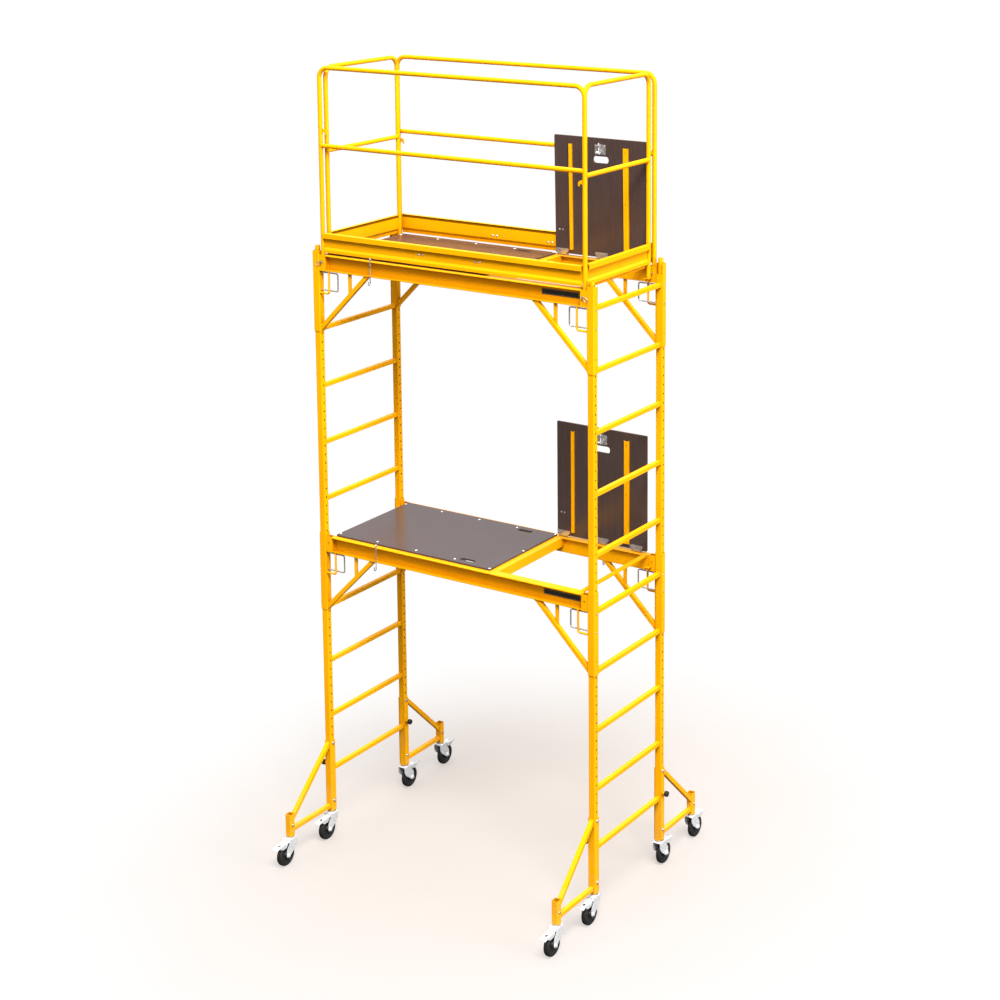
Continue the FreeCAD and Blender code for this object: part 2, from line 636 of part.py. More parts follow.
# ---------------------------------------------------------------- toe boards (upper level)
TOE_Z0, TOE_Z1, TOE_T = 3521.0, 3629.0, 2.0
TOE_Y, TOE_X = 350.0, 851.0          # inner face of the boards
TOE_HALF_X, TOE_HALF_Y = 859.2, 308.2
TOE_OUT, TOE_DROP, TOE_HEM = 19.0, 29.0, 4.0
TOE_LIP, TOE_BEND, TOE_STEP = 8.0, 3547.0, 3534.0    # the skirt steps out between two heights
HEM_CUT_X = (228.0, 845.0)           # the back board's hem is cut away beside the hatch
RIVET_R = 4.0
RIVET_INNER = 2.4                    # shank reach inside the board
RIVET_Z = {"front": 3574.0, "back": 3564.0}
RIVET_X = [x + offset for x in (-190.0, 190.0) for offset in (-14.0, 14.0)]


def toe_rows(inner):
    """Section rows: distance outward, z, corner radius."""
    t, outer, lip, hem = TOE_T, inner + TOE_OUT, inner + TOE_LIP, inner - TOE_HEM
    return [
        (lip, TOE_Z0, 0), (lip + t, TOE_Z0, 0), (lip + t, TOE_STEP + 0.6, 2.6),
        (inner + t, TOE_BEND + 0.6, 1.0), (inner + t, TOE_Z1 - t, 0.6),
        (outer - t, TOE_Z1 - t, 0.6), (outer - t, TOE_Z1 - TOE_DROP, 0),
        (outer, TOE_Z1 - TOE_DROP, 0), (outer, TOE_Z1, 2.6), (hem, TOE_Z1, 0.7),
        (hem, TOE_Z1 - t, 0.7), (inner, TOE_Z1 - t, 0.6), (inner, TOE_BEND, 2.6),
        (lip, TOE_STEP, 1.0)]


def long_toe_board(face_name, face):
    board = prism_x(-TOE_HALF_X, [(face * out, z, radius) for out, z, radius in toe_rows(TOE_Y)],
                    2 * TOE_HALF_X)
    if face_name == "back":
        board = board.cut(box(*HEM_CUT_X, TOE_Y - TOE_HEM - 1, TOE_Y, TOE_Z1 - 3, TOE_Z1 + 1))
    for x in RIVET_X:
        board = board.cut(cylinder(x, face * 340, RIVET_Z[face_name], RIVET_R, 20, (0, face, 0)))
    return board


def toe_rivet(x, z, face):
    head = {"inset": 4.0, "radius": 6.9, "depth": 6}
    shank = cylinder(x, face * (TOE_Y - RIVET_INNER), z, RIVET_R, TOE_T + RIVET_INNER,
                     (0, face, 0))
    return fuse([shank, dome(x, face * (TOE_Y + TOE_T), z, facing=face, **head),
                 dome(x, face * TOE_Y, z, facing=-face, **head)])


def end_toe_board(side):
    rows = toe_rows(TOE_X)
    return prism([(side * out, -TOE_HALF_Y, z) for out, z, _ in rows],
                 [row[2] for row in rows], (0, 2 * TOE_HALF_Y, 0))


save("toe_boards", [long_toe_board(face_name, face) for face_name, face in FACES]
     + [end_toe_board(side) for _, side in SIDES])
for face_name, face in FACES:
    hardware += [toe_rivet(x, RIVET_Z[face_name], face) for x in RIVET_X]

# ---------------------------------------------------------------- wire hooks and socket pins
WIRE_X = 525.0
WIRE_YZ = ((-362.0, BEAM_Z1), (-362.0, BEAM_Z1 + 15), (-372.3, BEAM_Z1 + 15),
           (-372.3, 1721.0), (-388.0, 1721.0), (-388.0, 1741.0))
TAIL_Y = -377.0
TAIL_XZ = ((-4.0, 3), (18.0, 3), (36.0, -9), (24.0, -24), (-4.0, -3))    # from the pin's axis


def socket_pin():
    """Pin with a head and a wire tail, which holds a guardrail foot in its socket."""
    return fuse([
        cylinder(SOCKET_X, -376.0, SOCKET_PIN_Z, 4.4, 50.0, ALONG_Y),
        cylinder(SOCKET_X, -379.0, SOCKET_PIN_Z, 7.5, 5.0, ALONG_Y),
        pipe([(SOCKET_X + x, TAIL_Y, SOCKET_PIN_Z + z) for x, z in TAIL_XZ], 6.0, 1.4)])


wire_hook = pipe([(WIRE_X, y, z) for y, z in WIRE_YZ], 5.2, 3.0)
for _, rise in LEVELS:
    for side, face in ((-1, -1), (1, 1)):
        hardware.append(moved(to_corner(wire_hook, side, face), z=rise))
one_socket_pin = socket_pin()
for _, side in SIDES:
    for _, face in FACES:
        hardware.append(moved(to_corner(one_socket_pin, side, face), z=UPPER))

# ---------------------------------------------------------------- outriggers
# Front pattern with the post at x = 0 and the knob on -X.
OUT_Z0, OUT_Z1 = 164.0, 599.0        # sleeve
OUT_Y = 718.0                        # caster tube centre
OUT_TUBE_TOP = 293.0
DIAG_IN = (372.25, 577.0)            # distance across and z, at the sleeve
DIAG_OUT = (698.95, 261.0)           # at the caster tube
DIAG_OVER = 25.0                     # overrun across at each end before trimming
OUT_LOW_Z = 194.0
OUT_BOLTS_Z = (FIRST_HOLE_Z, FIRST_HOLE_Z + 7 * PITCH)
BARREL_L, BARREL_R, BARREL_BORE = 15.0, 9.5, 4.8
BARREL_END_X = -(SLEEVE_OUT + BARREL_L)
PLUNGER_R, PLUNGER_X = 4.5, -12.5
KNOB_R, KNOB_L = 16.0, 20.0
FLUTES, FLUTE_RING, FLUTE_R = 10, 18.2, 3.6
OUT_BOLT_R, OUT_BOLT_HEX = 4.0, 13.0
WASHER_R, WASHER_T = 9.0, 1.6


def outrigger():
    channel = sleeve(OUT_Z0, OUT_Z1)
    for z in OUT_BOLTS_Z:
        channel = channel.cut(drill(0, -BAY_Y, z, HOLE_R))
    channel = channel.cut(cylinder(-40, -BAY_Y, KNOB_Z, BARREL_BORE, 40, ALONG_X))
    (y_in, z_in), (y_out, z_out) = DIAG_IN, DIAG_OUT
    over_z = DIAG_OVER * (z_in - z_out) / (y_out - y_in)
    start = (0, -y_in + DIAG_OVER, z_in + over_z)
    end = (0, -y_out - DIAG_OVER, z_out - over_z)
    diagonal = along(brace_tube((Vector(*end) - Vector(*start)).Length), start, end)
    diagonal = diagonal.common(box(-50, 50, -y_out, -y_in, 100, 700))
    low = along(brace_tube(y_out - y_in), (0, -y_in, OUT_LOW_Z), (0, -y_out, OUT_LOW_Z))
    caster_tube = moved(tube(POST, POST, POST_WALL, POST_R, OUT_TUBE_TOP - FRAME_Z0),
                        0, -OUT_Y, FRAME_Z0)
    caster_tube = caster_tube.cut(drill(0, -OUT_Y, FIRST_HOLE_Z, HOLE_R))
    barrel, bore = [cylinder(-SLEEVE_OUT, -BAY_Y, KNOB_Z, radius, BARREL_L, (-1, 0, 0))
                    for radius in (BARREL_R, BARREL_BORE)]
    barrel = chamfer(barrel.cut(bore), 1.2,
                     lambda b: abs(b.XMax - BARREL_END_X) < 1e-3 and b.ZLength > 15)
    return [channel, diagonal, low, caster_tube, barrel]


def outrigger_knob():
    plunger = cylinder(PLUNGER_X, -BAY_Y, KNOB_Z, PLUNGER_R, PLUNGER_X - BARREL_END_X + 6.0,
                       (-1, 0, 0))
    body = cylinder(BARREL_END_X - 0.5, -BAY_Y, KNOB_Z, KNOB_R, KNOB_L, (-1, 0, 0))
    body = fillet(body, 4.0, lambda b: b.ZLength > 30)
    angles = [math.radians(360 / FLUTES * k) for k in range(FLUTES)]
    body = body.cut(Part.makeCompound([
        cylinder(BARREL_END_X + 1, -BAY_Y + FLUTE_RING * math.cos(angle),
                 KNOB_Z + FLUTE_RING * math.sin(angle), FLUTE_R, KNOB_L + 4, (-1, 0, 0))
        for angle in angles]))
    return fuse([plunger, body])


def sleeve_bolt(z):
    return fuse([
        cylinder(-SLEEVE_OUT - 12, -BAY_Y, z, OUT_BOLT_R, 2 * SLEEVE_OUT + 22, ALONG_X),
        hexagon(-SLEEVE_OUT - 7, -BAY_Y, z, OUT_BOLT_HEX, 7.0),
        cylinder(-SLEEVE_OUT - WASHER_T, -BAY_Y, z, WASHER_R, WASHER_T, ALONG_X),
        cylinder(SLEEVE_OUT, -BAY_Y, z, WASHER_R, WASHER_T, ALONG_X),
        hexagon(SLEEVE_OUT + 1.0, -BAY_Y, z, OUT_BOLT_HEX, 5.5)])


def caster_tube_bolt():
    return fuse([cylinder(-POST / 2 - 8, -OUT_Y, FIRST_HOLE_Z, OUT_BOLT_R, POST + 14, ALONG_X),
                 hexagon(-POST / 2 - 6, -OUT_Y, FIRST_HOLE_Z, OUT_BOLT_HEX, 6.0),
                 hexagon(POST / 2, -OUT_Y, FIRST_HOLE_Z, OUT_BOLT_HEX, 5.5)])


outrigger_parts = outrigger()
knob = outrigger_knob()
outrigger_bolts = [sleeve_bolt(z) for z in OUT_BOLTS_Z] + [caster_tube_bolt()]
for face_name, face in FACES:
    for side_name, side in SIDES:
        x = side * BAY_X
        name = "%s_%s_outrigger" % (face_name, side_name)
        save(name, [turned_to(shape, face, x) for shape in outrigger_parts])
        save(name + "_knob", [turned_to(knob, face, x)])
        hardware += [turned_to(bolt, face, x) for bolt in outrigger_bolts]

# ---------------------------------------------------------------- casters
# Swivel axis at x = y = 0, trailing towards -Y.
AXLE_Z = 63.5                        # wheel radius
TRAIL = 46.0
AXLE_R = 6.0
STEM_R, STEM_Z0, STEM_TOP = 14.0, 159.0, 262.0
PEDAL_Y, PEDAL_Z, PEDAL_PIN_R = -33.0, 138.5, 3.0    # brake pedal pivot
PEDAL_HALF = 20.5
FORK_X0, FORK_T = 22.0, 3.0          # inner face and thickness of the side plates
FORK_X1 = FORK_X0 + FORK_T
FORK_ROWS = [  # y, z, corner radius
    (25, 150.2, 4), (30, 144.0, 6), (29, 116.0, 12), (14, 93.0, 12), (-TRAIL + 17, 59.0, 9),
    (-TRAIL, 47.5, 11), (-TRAIL - 15, 58.0, 9), (-TRAIL - 15, 92.0, 10), (-50, 112.0, 6),
    (-40, 124.0, 8), (-38, 150.2, 3)]
TYRE_ROWS = [  # x, radius from the axle, corner radius
    (-16.0, 49.0, 0), (-15.5, 56.0, 3), (-12.0, 61.5, 3), (-7.0, 63.5, 3),
    (7.0, 63.5, 3), (12.0, 61.5, 3), (15.5, 56.0, 3), (16.0, 49.0, 0)]
CORE_HALF_ROWS = [  # the same columns, for the -X half
    (-21.6, AXLE_R + 0.08, 0), (-21.6, 13.0, 1), (-13.0, 17.0, 2), (-6.0, 20.0, 2),
    (-6.0, 40.0, 2), (-14.5, 43.0, 1), (-14.5, 49.0, 0)]
CORE_ROWS = CORE_HALF_ROWS + [(-x, r, corner) for x, r, corner in reversed(CORE_HALF_ROWS)]
PEDAL_ROWS = [  # y, z, corner radius
    (PEDAL_Y - 3, 141.2, 0), (-70, 138.2, 30), (-112, 135.4, 12), (-136, 127.0, 0.8),
    (-137, 123.8, 0.8), (-113, 132.0, 10), (-70, 134.8, 30), (-52, 135.6, 10),
    (PEDAL_Y - 1, 138.2, 0)]
SKIRT_ROWS = [  # y, z, corner radius
    (-46, 136.4, 0), (-108, 133.2, 0), (-111, 124.0, 5), (-88, 112.0, 8), (-60, 114.0, 8),
    (-47, 126.0, 5)]


def caster_stem():
    stem = cylinder(0, 0, STEM_Z0, STEM_R, STEM_TOP - STEM_Z0, ALONG_Z)
    stem = chamfer(stem, 2.0, lambda b: abs(b.ZMin - STEM_TOP) < 1e-3)
    plate = cylinder(0, 0, 157.0, 24.5, 4.0, ALONG_Z)
    kingpin = cylinder(0, 0, 141.0, 6.0, 18.0, ALONG_Z)
    nut = cylinder(0, 0, 139.5, 10.0, 5.0, ALONG_Z)
    return fuse([stem, plate, kingpin, nut]).cut(drill(0, 0, FIRST_HOLE_Z, HOLE_R))


def caster_fork():
    """Fork with top plate, bearing cup and side plates; axle; pedal pivot pin."""
    top = prism([(-25, 30, 147.0), (-25, -36, 147.0), (25, -36, 147.0), (25, 30, 147.0)],
                [12, 6, 6, 12], (0, 0, 3.2))
    cup = cylinder(0, 0, 149.0, 22.0, 7.6, ALONG_Z)
    cup = fillet(cup, 2.5, lambda b: abs(b.ZMin - 156.6) < 1e-3)
    fork = fuse([top, cup] + [prism_x(x, FORK_ROWS, FORK_T) for x in (-FORK_X1, FORK_X0)])
    fork = fork.cut(cylinder(0, 0, 130, 6.2, 40, ALONG_Z))
    axle = fuse([cylinder(-30, -TRAIL, AXLE_Z, AXLE_R, 60, ALONG_X),
                 hexagon(-31.5, -TRAIL, AXLE_Z, 16.0, 6.5),
                 hexagon(FORK_X1, -TRAIL, AXLE_Z, 16.0, 6.5)])
    fork = fork.cut(drill(0, -TRAIL, AXLE_Z, AXLE_R))
    pivot = cylinder(-FORK_X1, PEDAL_Y, PEDAL_Z, PEDAL_PIN_R, 2 * FORK_X1, ALONG_X)
    return [fork.cut(pivot), axle, pivot]


def wheel_ring(rows):
    section = outline([(x, -TRAIL, AXLE_Z + r) for x, r, _ in rows], [row[2] for row in rows])
    return Part.Face(section).revolve(Vector(0, -TRAIL, AXLE_Z), Vector(1, 0, 0), 360)


def brake_pedal():
    """Bent plate with side skirts on the pivot, and a shoe over the tyre."""
    pedal = fuse([cylinder(-21.5, PEDAL_Y, PEDAL_Z, 6.0, 43, ALONG_X),
                  prism_x(-PEDAL_HALF, PEDAL_ROWS, 2 * PEDAL_HALF)]
                 + [prism_x(x, SKIRT_ROWS, 2.5) for x in (-PEDAL_HALF, PEDAL_HALF - 2.5)])
    pedal = pedal.cut(box(-12, 12, PEDAL_Y - 30, PEDAL_Y + 30, 100, 133.4))
    pedal = pedal.cut(drill(0, PEDAL_Y, PEDAL_Z, PEDAL_PIN_R + 0.06))
    pedal = pedal.cut(moved(prism(rectangle(9, 9), 8.5, (0, 0, 40)), 0, -97, 125))
    shoe = box(-12, 12, -82, -66, 131.5, 136.4)
    shoe = fillet(shoe, 1.0, lambda b: b.XLength > 20 and b.ZMax < 132)
    return fuse([pedal, shoe])


stem = caster_stem()
caster_parts = (("fork", caster_fork()),
                ("wheel", [wheel_ring(TYRE_ROWS), wheel_ring(CORE_ROWS)]),
                ("brake_pedal", [brake_pedal()]))
for face_name, face in FACES:
    for side_name, side in SIDES:
        for place, distance in (("inner", BAY_Y), ("outer", OUT_Y)):
            x, y = side * BAY_X, face * distance
            hardware.append(turned_to(stem, face, x, y))
            for part_name, shapes in caster_parts:
                save("%s_%s_%s_caster_%s" % (face_name, side_name, place, part_name),
                     [turned_to(shape, face, x, y) for shape in shapes])

# ---------------------------------------------------------------- platform lock pins
LOCK_R, LOCK_BEND = 4.0, 11.0
LOCK_BACK, LOCK_TIP = 773.0, 938.5   # x of the U's closed end and of its tips

lock_pin = pipe([(LOCK_TIP, -BAY_Y, LOCK_Z[1]), (LOCK_BACK, -BAY_Y, LOCK_Z[1]),
                 (LOCK_BACK, -BAY_Y, LOCK_Z[0]), (LOCK_TIP, -BAY_Y, LOCK_Z[0])],
                LOCK_BEND, LOCK_R)
for level, rise in LEVELS:
    for face_name, face in FACES:
        for side_name, side in SIDES:
            save("%s_%s_%s_lock_pin" % (level, face_name, side_name),
                 [moved(to_corner(lock_pin, side, face), z=rise)])

save("zinc_hardware", hardware)
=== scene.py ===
import math
import random

import bmesh
import bpy
from mathutils import Matrix, Vector


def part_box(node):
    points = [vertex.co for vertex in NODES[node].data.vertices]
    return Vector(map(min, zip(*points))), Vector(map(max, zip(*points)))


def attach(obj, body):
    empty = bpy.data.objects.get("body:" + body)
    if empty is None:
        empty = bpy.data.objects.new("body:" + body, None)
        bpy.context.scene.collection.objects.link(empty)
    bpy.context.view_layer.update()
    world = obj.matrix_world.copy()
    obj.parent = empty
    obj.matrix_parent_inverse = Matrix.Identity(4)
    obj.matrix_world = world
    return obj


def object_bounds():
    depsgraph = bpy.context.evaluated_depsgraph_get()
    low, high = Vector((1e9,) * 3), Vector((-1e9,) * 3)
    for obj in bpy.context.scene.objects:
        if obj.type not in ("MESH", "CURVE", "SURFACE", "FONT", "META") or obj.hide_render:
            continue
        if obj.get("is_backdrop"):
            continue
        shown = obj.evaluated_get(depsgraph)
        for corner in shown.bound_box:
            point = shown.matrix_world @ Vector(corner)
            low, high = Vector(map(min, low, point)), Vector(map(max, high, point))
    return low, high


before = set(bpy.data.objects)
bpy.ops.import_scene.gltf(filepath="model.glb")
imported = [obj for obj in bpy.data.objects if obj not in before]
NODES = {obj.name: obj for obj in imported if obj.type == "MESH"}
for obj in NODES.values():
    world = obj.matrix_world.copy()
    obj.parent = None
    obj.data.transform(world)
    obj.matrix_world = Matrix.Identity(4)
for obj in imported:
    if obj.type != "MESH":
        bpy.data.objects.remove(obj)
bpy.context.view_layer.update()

RNG = random.Random(7)
SCENE = bpy.context.scene


# ------------------------------------------------------------------ material helpers
class Mat:
    """A small wrapper round a node material."""

    def __init__(self, name):
        self.m = bpy.data.materials.new(name)
        self.m.use_nodes = True
        self.t = self.m.node_tree
        self.t.nodes.clear()
        self.out = self.n("ShaderNodeOutputMaterial")
        self.bsdf = self.n("ShaderNodeBsdfPrincipled")
        self.link(self.bsdf.outputs[0], self.out.inputs[0])
        self.geo = self.n("ShaderNodeNewGeometry")
        self.tc = self.n("ShaderNodeTexCoord")

    def n(self, kind, **kw):
        node = self.t.nodes.new(kind)
        for k, v in kw.items():
            setattr(node, k, v)
        return node

    def link(self, a, b):
        self.t.links.new(a, b)

    def put(self, socket, v):
        if hasattr(v, "links") or hasattr(v, "is_output"):
            self.link(v, socket)
        else:
            socket.default_value = v

    def set(self, name, v):
        self.put(self.bsdf.inputs[name], v)

    def math(self, op, a, b=0.0, c=None, clamp=False):
        m = self.n("ShaderNodeMath", operation=op, use_clamp=clamp)
        self.put(m.inputs[0], a)
        self.put(m.inputs[1], b)
        if c is not None:
            self.put(m.inputs[2], c)
        return m.outputs[0]

    def noise(self, scale, detail=4.0, rough=0.55, vec=None, distortion=0.0):
        t = self.n("ShaderNodeTexNoise")
        t.inputs["Scale"].default_value = scale
        t.inputs["Detail"].default_value = detail
        t.inputs["Roughness"].default_value = rough
        t.inputs["Distortion"].default_value = distortion
        self.link(vec if vec is not None else self.tc.outputs["Object"], t.inputs["Vector"])
        return t.outputs["Fac"]

    def scaled(self, sx, sy, sz, src=None):
        m = self.n("ShaderNodeMapping")
        m.inputs["Scale"].default_value = (sx, sy, sz)
        self.link(src if src is not None else self.tc.outputs["Object"], m.inputs["Vector"])
        return m.outputs[0]

    def ramp(self, fac, stops, interp="LINEAR"):
        r = self.n("ShaderNodeValToRGB")
        r.color_ramp.interpolation = interp
        el = r.color_ramp.elements
        while len(el) > 1:
            el.remove(el[-1])
        el[0].position, el[0].color = stops[0][0], (*stops[0][1], 1) if len(stops[0][1]) == 3 else stops[0][1]
        for p, c in stops[1:]:
            e = el.new(p)
            e.color = (*c, 1) if len(c) == 3 else c
        self.link(fac, r.inputs[0])
        return r.outputs[0]

    def step(self, v, lo, hi):
        m = self.n("ShaderNodeMapRange", clamp=True, interpolation_type="SMOOTHSTEP")
        self.put(m.inputs["Value"], v)
        m.inputs["From Min"].default_value = lo
        m.inputs["From Max"].default_value = hi
        return m.outputs[0]

    def mix(self, fac, a, b, blend="MIX"):
        m = self.n("ShaderNodeMix", data_type="RGBA", blend_type=blend)
        self.put(m.inputs[0], fac)
        for s, v in ((m.inputs[6], a), (m.inputs[7], b)):
            if isinstance(v, tuple):
                s.default_value = (*v, 1) if len(v) == 3 else v
            else:
                self.link(v, s)
        return m.outputs[2]

    def mixf(self, fac, a, b):
        m = self.n("ShaderNodeMix", data_type="FLOAT")
        self.put(m.inputs[0], fac)
        self.put(m.inputs[2], a)
        self.put(m.inputs[3], b)
        return m.outputs[0]

    def bump(self, height, strength, distance, normal=None):
        b = self.n("ShaderNodeBump")
        b.inputs["Strength"].default_value = strength
        b.inputs["Distance"].default_value = distance
        self.link(height, b.inputs["Height"])
        if normal is not None:
            self.link(normal, b.inputs["Normal"])
        return b.outputs[0]

    def bevel(self, radius, samples=4):
        b = self.n("ShaderNodeBevel", samples=samples)
        b.inputs["Radius"].default_value = radius
        return b.outputs[0]

    def edge(self, radius, samples=4):
        """About 0 on flat surfaces and up to 1 on edges of that radius."""
        nb = self.bevel(radius, samples)
        dot = self.n("ShaderNodeVectorMath", operation="DOT_PRODUCT")
        self.link(nb, dot.inputs[0])
        self.link(self.geo.outputs["Normal"], dot.inputs[1])
        return self.math("SUBTRACT", 1.0, dot.outputs["Value"], clamp=True), nb

    def xyz(self, src):
        s = self.n("ShaderNodeSeparateXYZ")
        self.link(src, s.inputs[0])
        return s.outputs


def yellow_paint(name="yellow_powder_coat", hem=False):
    """Semi-gloss yellow powder coat: orange peel, slight colour drift, scuffs, rubbed edges, dust low down and painted
    shade in corners and under overhangs.
    With hem, a painted shadow line runs along the inner faces just under the toe boards' top hem."""
    k = Mat(name)
    edge, nb = k.edge(0.0016)
    big = k.noise(2.1, 3.0)
    mid = k.noise(19.0, 5.0, 0.6)
    col = k.mix(k.step(big, 0.35, 0.68), (0.900, 0.385, 0.0010), (0.970, 0.430, 0.0016))
    col = k.mix(k.math("MULTIPLY", k.step(mid, 0.52, 0.78), 0.22), col, (0.83, 0.325, 0.0010))
    # thin film over edges reads a little lighter, with a few tiny chips down to grey steel
    rub = k.math("MULTIPLY", k.step(edge, 0.06, 0.30), 0.35)
    col = k.mix(rub, col, (1.0, 0.52, 0.010))
    chips = k.noise(85.0, 6.0, 0.72)
    chip = k.math("MULTIPLY", k.step(chips, 0.70, 0.73), k.step(edge, 0.10, 0.22))
    col = k.mix(chip, col, (0.30, 0.28, 0.26))
    # faint vertical scuffs
    sc = k.noise(1.0, 5.0, 0.7, k.scaled(260.0, 260.0, 14.0))
    scuff = k.math("MULTIPLY", k.step(sc, 0.66, 0.78), 0.20)
    col = k.mix(scuff, col, (0.62, 0.33, 0.06))
    # dust towards the ground
    z = k.xyz(k.tc.outputs["Object"])[2]
    low = k.math("MULTIPLY", k.math("SUBTRACT", 1.0, k.step(z, 0.10, 0.55)), k.step(mid, 0.38, 0.72))
    col = k.mix(k.math("MULTIPLY", low, 0.16), col, (0.55, 0.44, 0.32))
    # painted shade: corners, creases and faces under overhangs are darkened towards a deep orange through an ambient
    # occlusion mask
    painted_shade_ao = k.n("ShaderNodeAmbientOcclusion", samples=6)
    painted_shade_ao.inputs["Distance"].default_value = 0.095
    painted_shade = k.math("SUBTRACT", 1.0, k.step(painted_shade_ao.outputs["AO"], 0.25, 0.94))
    col = k.mix(k.math("MULTIPLY", painted_shade, 0.80), col, (0.43, 0.165, 0.0008))
    if hem:
        # painted shadow: a dark brown line on the inner faces just under the top hem, where the hem's shadow falls
        at = k.xyz(k.tc.outputs["Object"])
        hem_shadow_band = k.math("MULTIPLY", k.step(at[2], 3.6080, 3.6150), k.math("SUBTRACT", 1.0, k.step(at[2], 3.6268, 3.6276)))
        ins = k.math("MULTIPLY", k.math("LESS_THAN", k.math("ABSOLUTE", at[0]), 0.8516),
                     k.math("LESS_THAN", k.math("ABSOLUTE", at[1]), 0.3506))
        col = k.mix(k.math("MULTIPLY", k.math("MULTIPLY", hem_shadow_band, ins), 0.88), col, (0.085, 0.030, 0.001))
    k.set("Base Color", col)
    rough = k.math("ADD", 0.34, k.math("MULTIPLY", mid, 0.10))
    rough = k.math("ADD", rough, k.math("MULTIPLY", low, 0.20))
    rough = k.math("ADD", rough, k.math("MULTIPLY", scuff, 0.5), clamp=True)
    k.set("Roughness", rough)
    k.set("IOR", 1.48)
    k.bsdf.inputs["Specular IOR Level"].default_value = 0.40
    k.bsdf.inputs["Specular Tint"].default_value = (1.0, 0.62, 0.06, 1)
    peel = k.noise(520.0, 2.0, 0.5)
    nrm = k.bump(peel, 0.22, 0.0006, nb)
    nrm = k.bump(k.math("MULTIPLY", chip, -1.0), 0.5, 0.0003, nrm)
    k.set("Normal", nrm)
    return k.m


def zinc(name="zinc_plate", bright=1.0, spangle=True):
    """Bright zinc plate: cool grey metal with spangle, handling marks and white bloom in the recesses."""
    k = Mat(name)
    edge, nb = k.edge(0.0009)
    v = k.n("ShaderNodeTexVoronoi", feature="F1")
    v.inputs["Scale"].default_value = 170.0
    k.link(k.tc.outputs["Object"], v.inputs["Vector"])
    cell = k.xyz(v.outputs["Color"])[0]
    cloud = k.noise(42.0, 5.0, 0.65)
    base = k.mix(cell, (0.56 * bright, 0.57 * bright, 0.59 * bright), (0.68 * bright, 0.69 * bright, 0.71 * bright))
    base = k.mix(k.math("MULTIPLY", k.step(cloud, 0.50, 0.72), 0.55), base, (0.86, 0.86, 0.85))
    base = k.mix(k.math("MULTIPLY", k.step(edge, 0.06, 0.30), 0.5), base, (0.90, 0.90, 0.90))
    k.set("Base Color", base)
    k.set("Metallic", 0.90 if bright < 1.2 else 0.45)
    r = k.math("ADD", 0.26, k.math("MULTIPLY", cell, 0.12))
    r = k.math("ADD", r, k.math("MULTIPLY", k.step(cloud, 0.48, 0.75), 0.20), clamp=True)
    k.set("Roughness", r)
    k.set("Normal", k.bump(k.noise(900.0, 3.0, 0.6), 0.10, 0.0002, nb))
    return k.m


def film_ply(name, along):
    """Film-faced plywood: dark brown phenolic film, glossy, with fine grain telegraphing through it and scuffs.
    along is the index of the grain axis. Cut edges show the veneers."""
    k = Mat(name)
    edge, nb = k.edge(0.0012)
    s = [300.0, 300.0, 300.0]
    s[along] = 5.0
    fine = k.noise(1.0, 6.0, 0.62, k.scaled(*s))
    s2 = [46.0, 46.0, 46.0]
    s2[along] = 1.1
    wide = k.noise(1.0, 4.0, 0.55, k.scaled(*s2), 0.4)
    cloud = k.noise(3.0, 4.0, 0.55)
    col = k.ramp(fine, [(0.25, (0.046, 0.028, 0.024)), (0.48, (0.057, 0.035, 0.030)), (0.60, (0.066, 0.042, 0.037)),
                        (0.80, (0.082, 0.055, 0.048))])
    col = k.mix(k.math("MULTIPLY", k.step(wide, 0.35, 0.70), 0.22), col, (0.046, 0.028, 0.025))
    col = k.mix(k.math("MULTIPLY", k.step(cloud, 0.42, 0.70), 0.25), col, (0.072, 0.050, 0.050))
    # painted sheen: the deck's top is tinted lighter and violet
    if along == 0:
        col = k.mix(0.22, col, (0.085, 0.062, 0.080))
    # scratches
    scr = k.noise(1.0, 3.0, 0.8, k.scaled(9.0, 240.0, 240.0))
    scr2 = k.noise(1.0, 3.0, 0.8, k.scaled(170.0, 14.0, 30.0))
    scratch = k.math("ADD", k.step(scr, 0.70, 0.74), k.step(scr2, 0.72, 0.76), clamp=True)
    col = k.mix(k.math("MULTIPLY", scratch, 0.10), col, (0.20, 0.16, 0.14))
    # veneers on the cut edges: the two faces' normals give the sheet's thin axis
    thin = 1 if along == 2 else 2
    own = k.n("ShaderNodeVectorTransform", vector_type="NORMAL", convert_from="WORLD", convert_to="OBJECT")
    k.link(k.geo.outputs["True Normal"], own.inputs[0])
    nn = k.xyz(own.outputs[0])
    side = k.math("SUBTRACT", 1.0, k.step(k.math("ABSOLUTE", nn[thin]), 0.50, 0.80))
    pos = k.xyz(k.tc.outputs["Object"])[thin]
    layer = k.math("SINE", k.math("MULTIPLY", pos, 2 * math.pi / 0.0028))
    light = 0.42 if along == 0 else 0.8     # the deck edges are sealed darker
    lay = k.ramp(k.math("MULTIPLY_ADD", layer, 0.5, 0.5),
                 [(0.30, (0.085 * light, 0.048 * light, 0.026 * light)),
                  (0.62, (0.20 * light, 0.125 * light, 0.070 * light))])
    lay = k.mix(k.math("MULTIPLY", fine, 0.5), lay, (0.07 * light, 0.042 * light, 0.028 * light))
    col = k.mix(side, col, lay)
    k.set("Base Color", col)
    rough = k.math("ADD", 0.20, k.math("MULTIPLY", fine, 0.09))
    rough = k.math("ADD", rough, k.math("MULTIPLY", scratch, 0.12))
    rough = k.mixf(side, rough, 0.75)
    k.set("Roughness", rough)
    k.set("IOR", 1.62)
    h = k.math("ADD", k.math("MULTIPLY", fine, 0.6), k.math("MULTIPLY", wide, 0.4))
    k.set("Normal", k.bump(h, 0.07, 0.0004, nb))
    return k.m


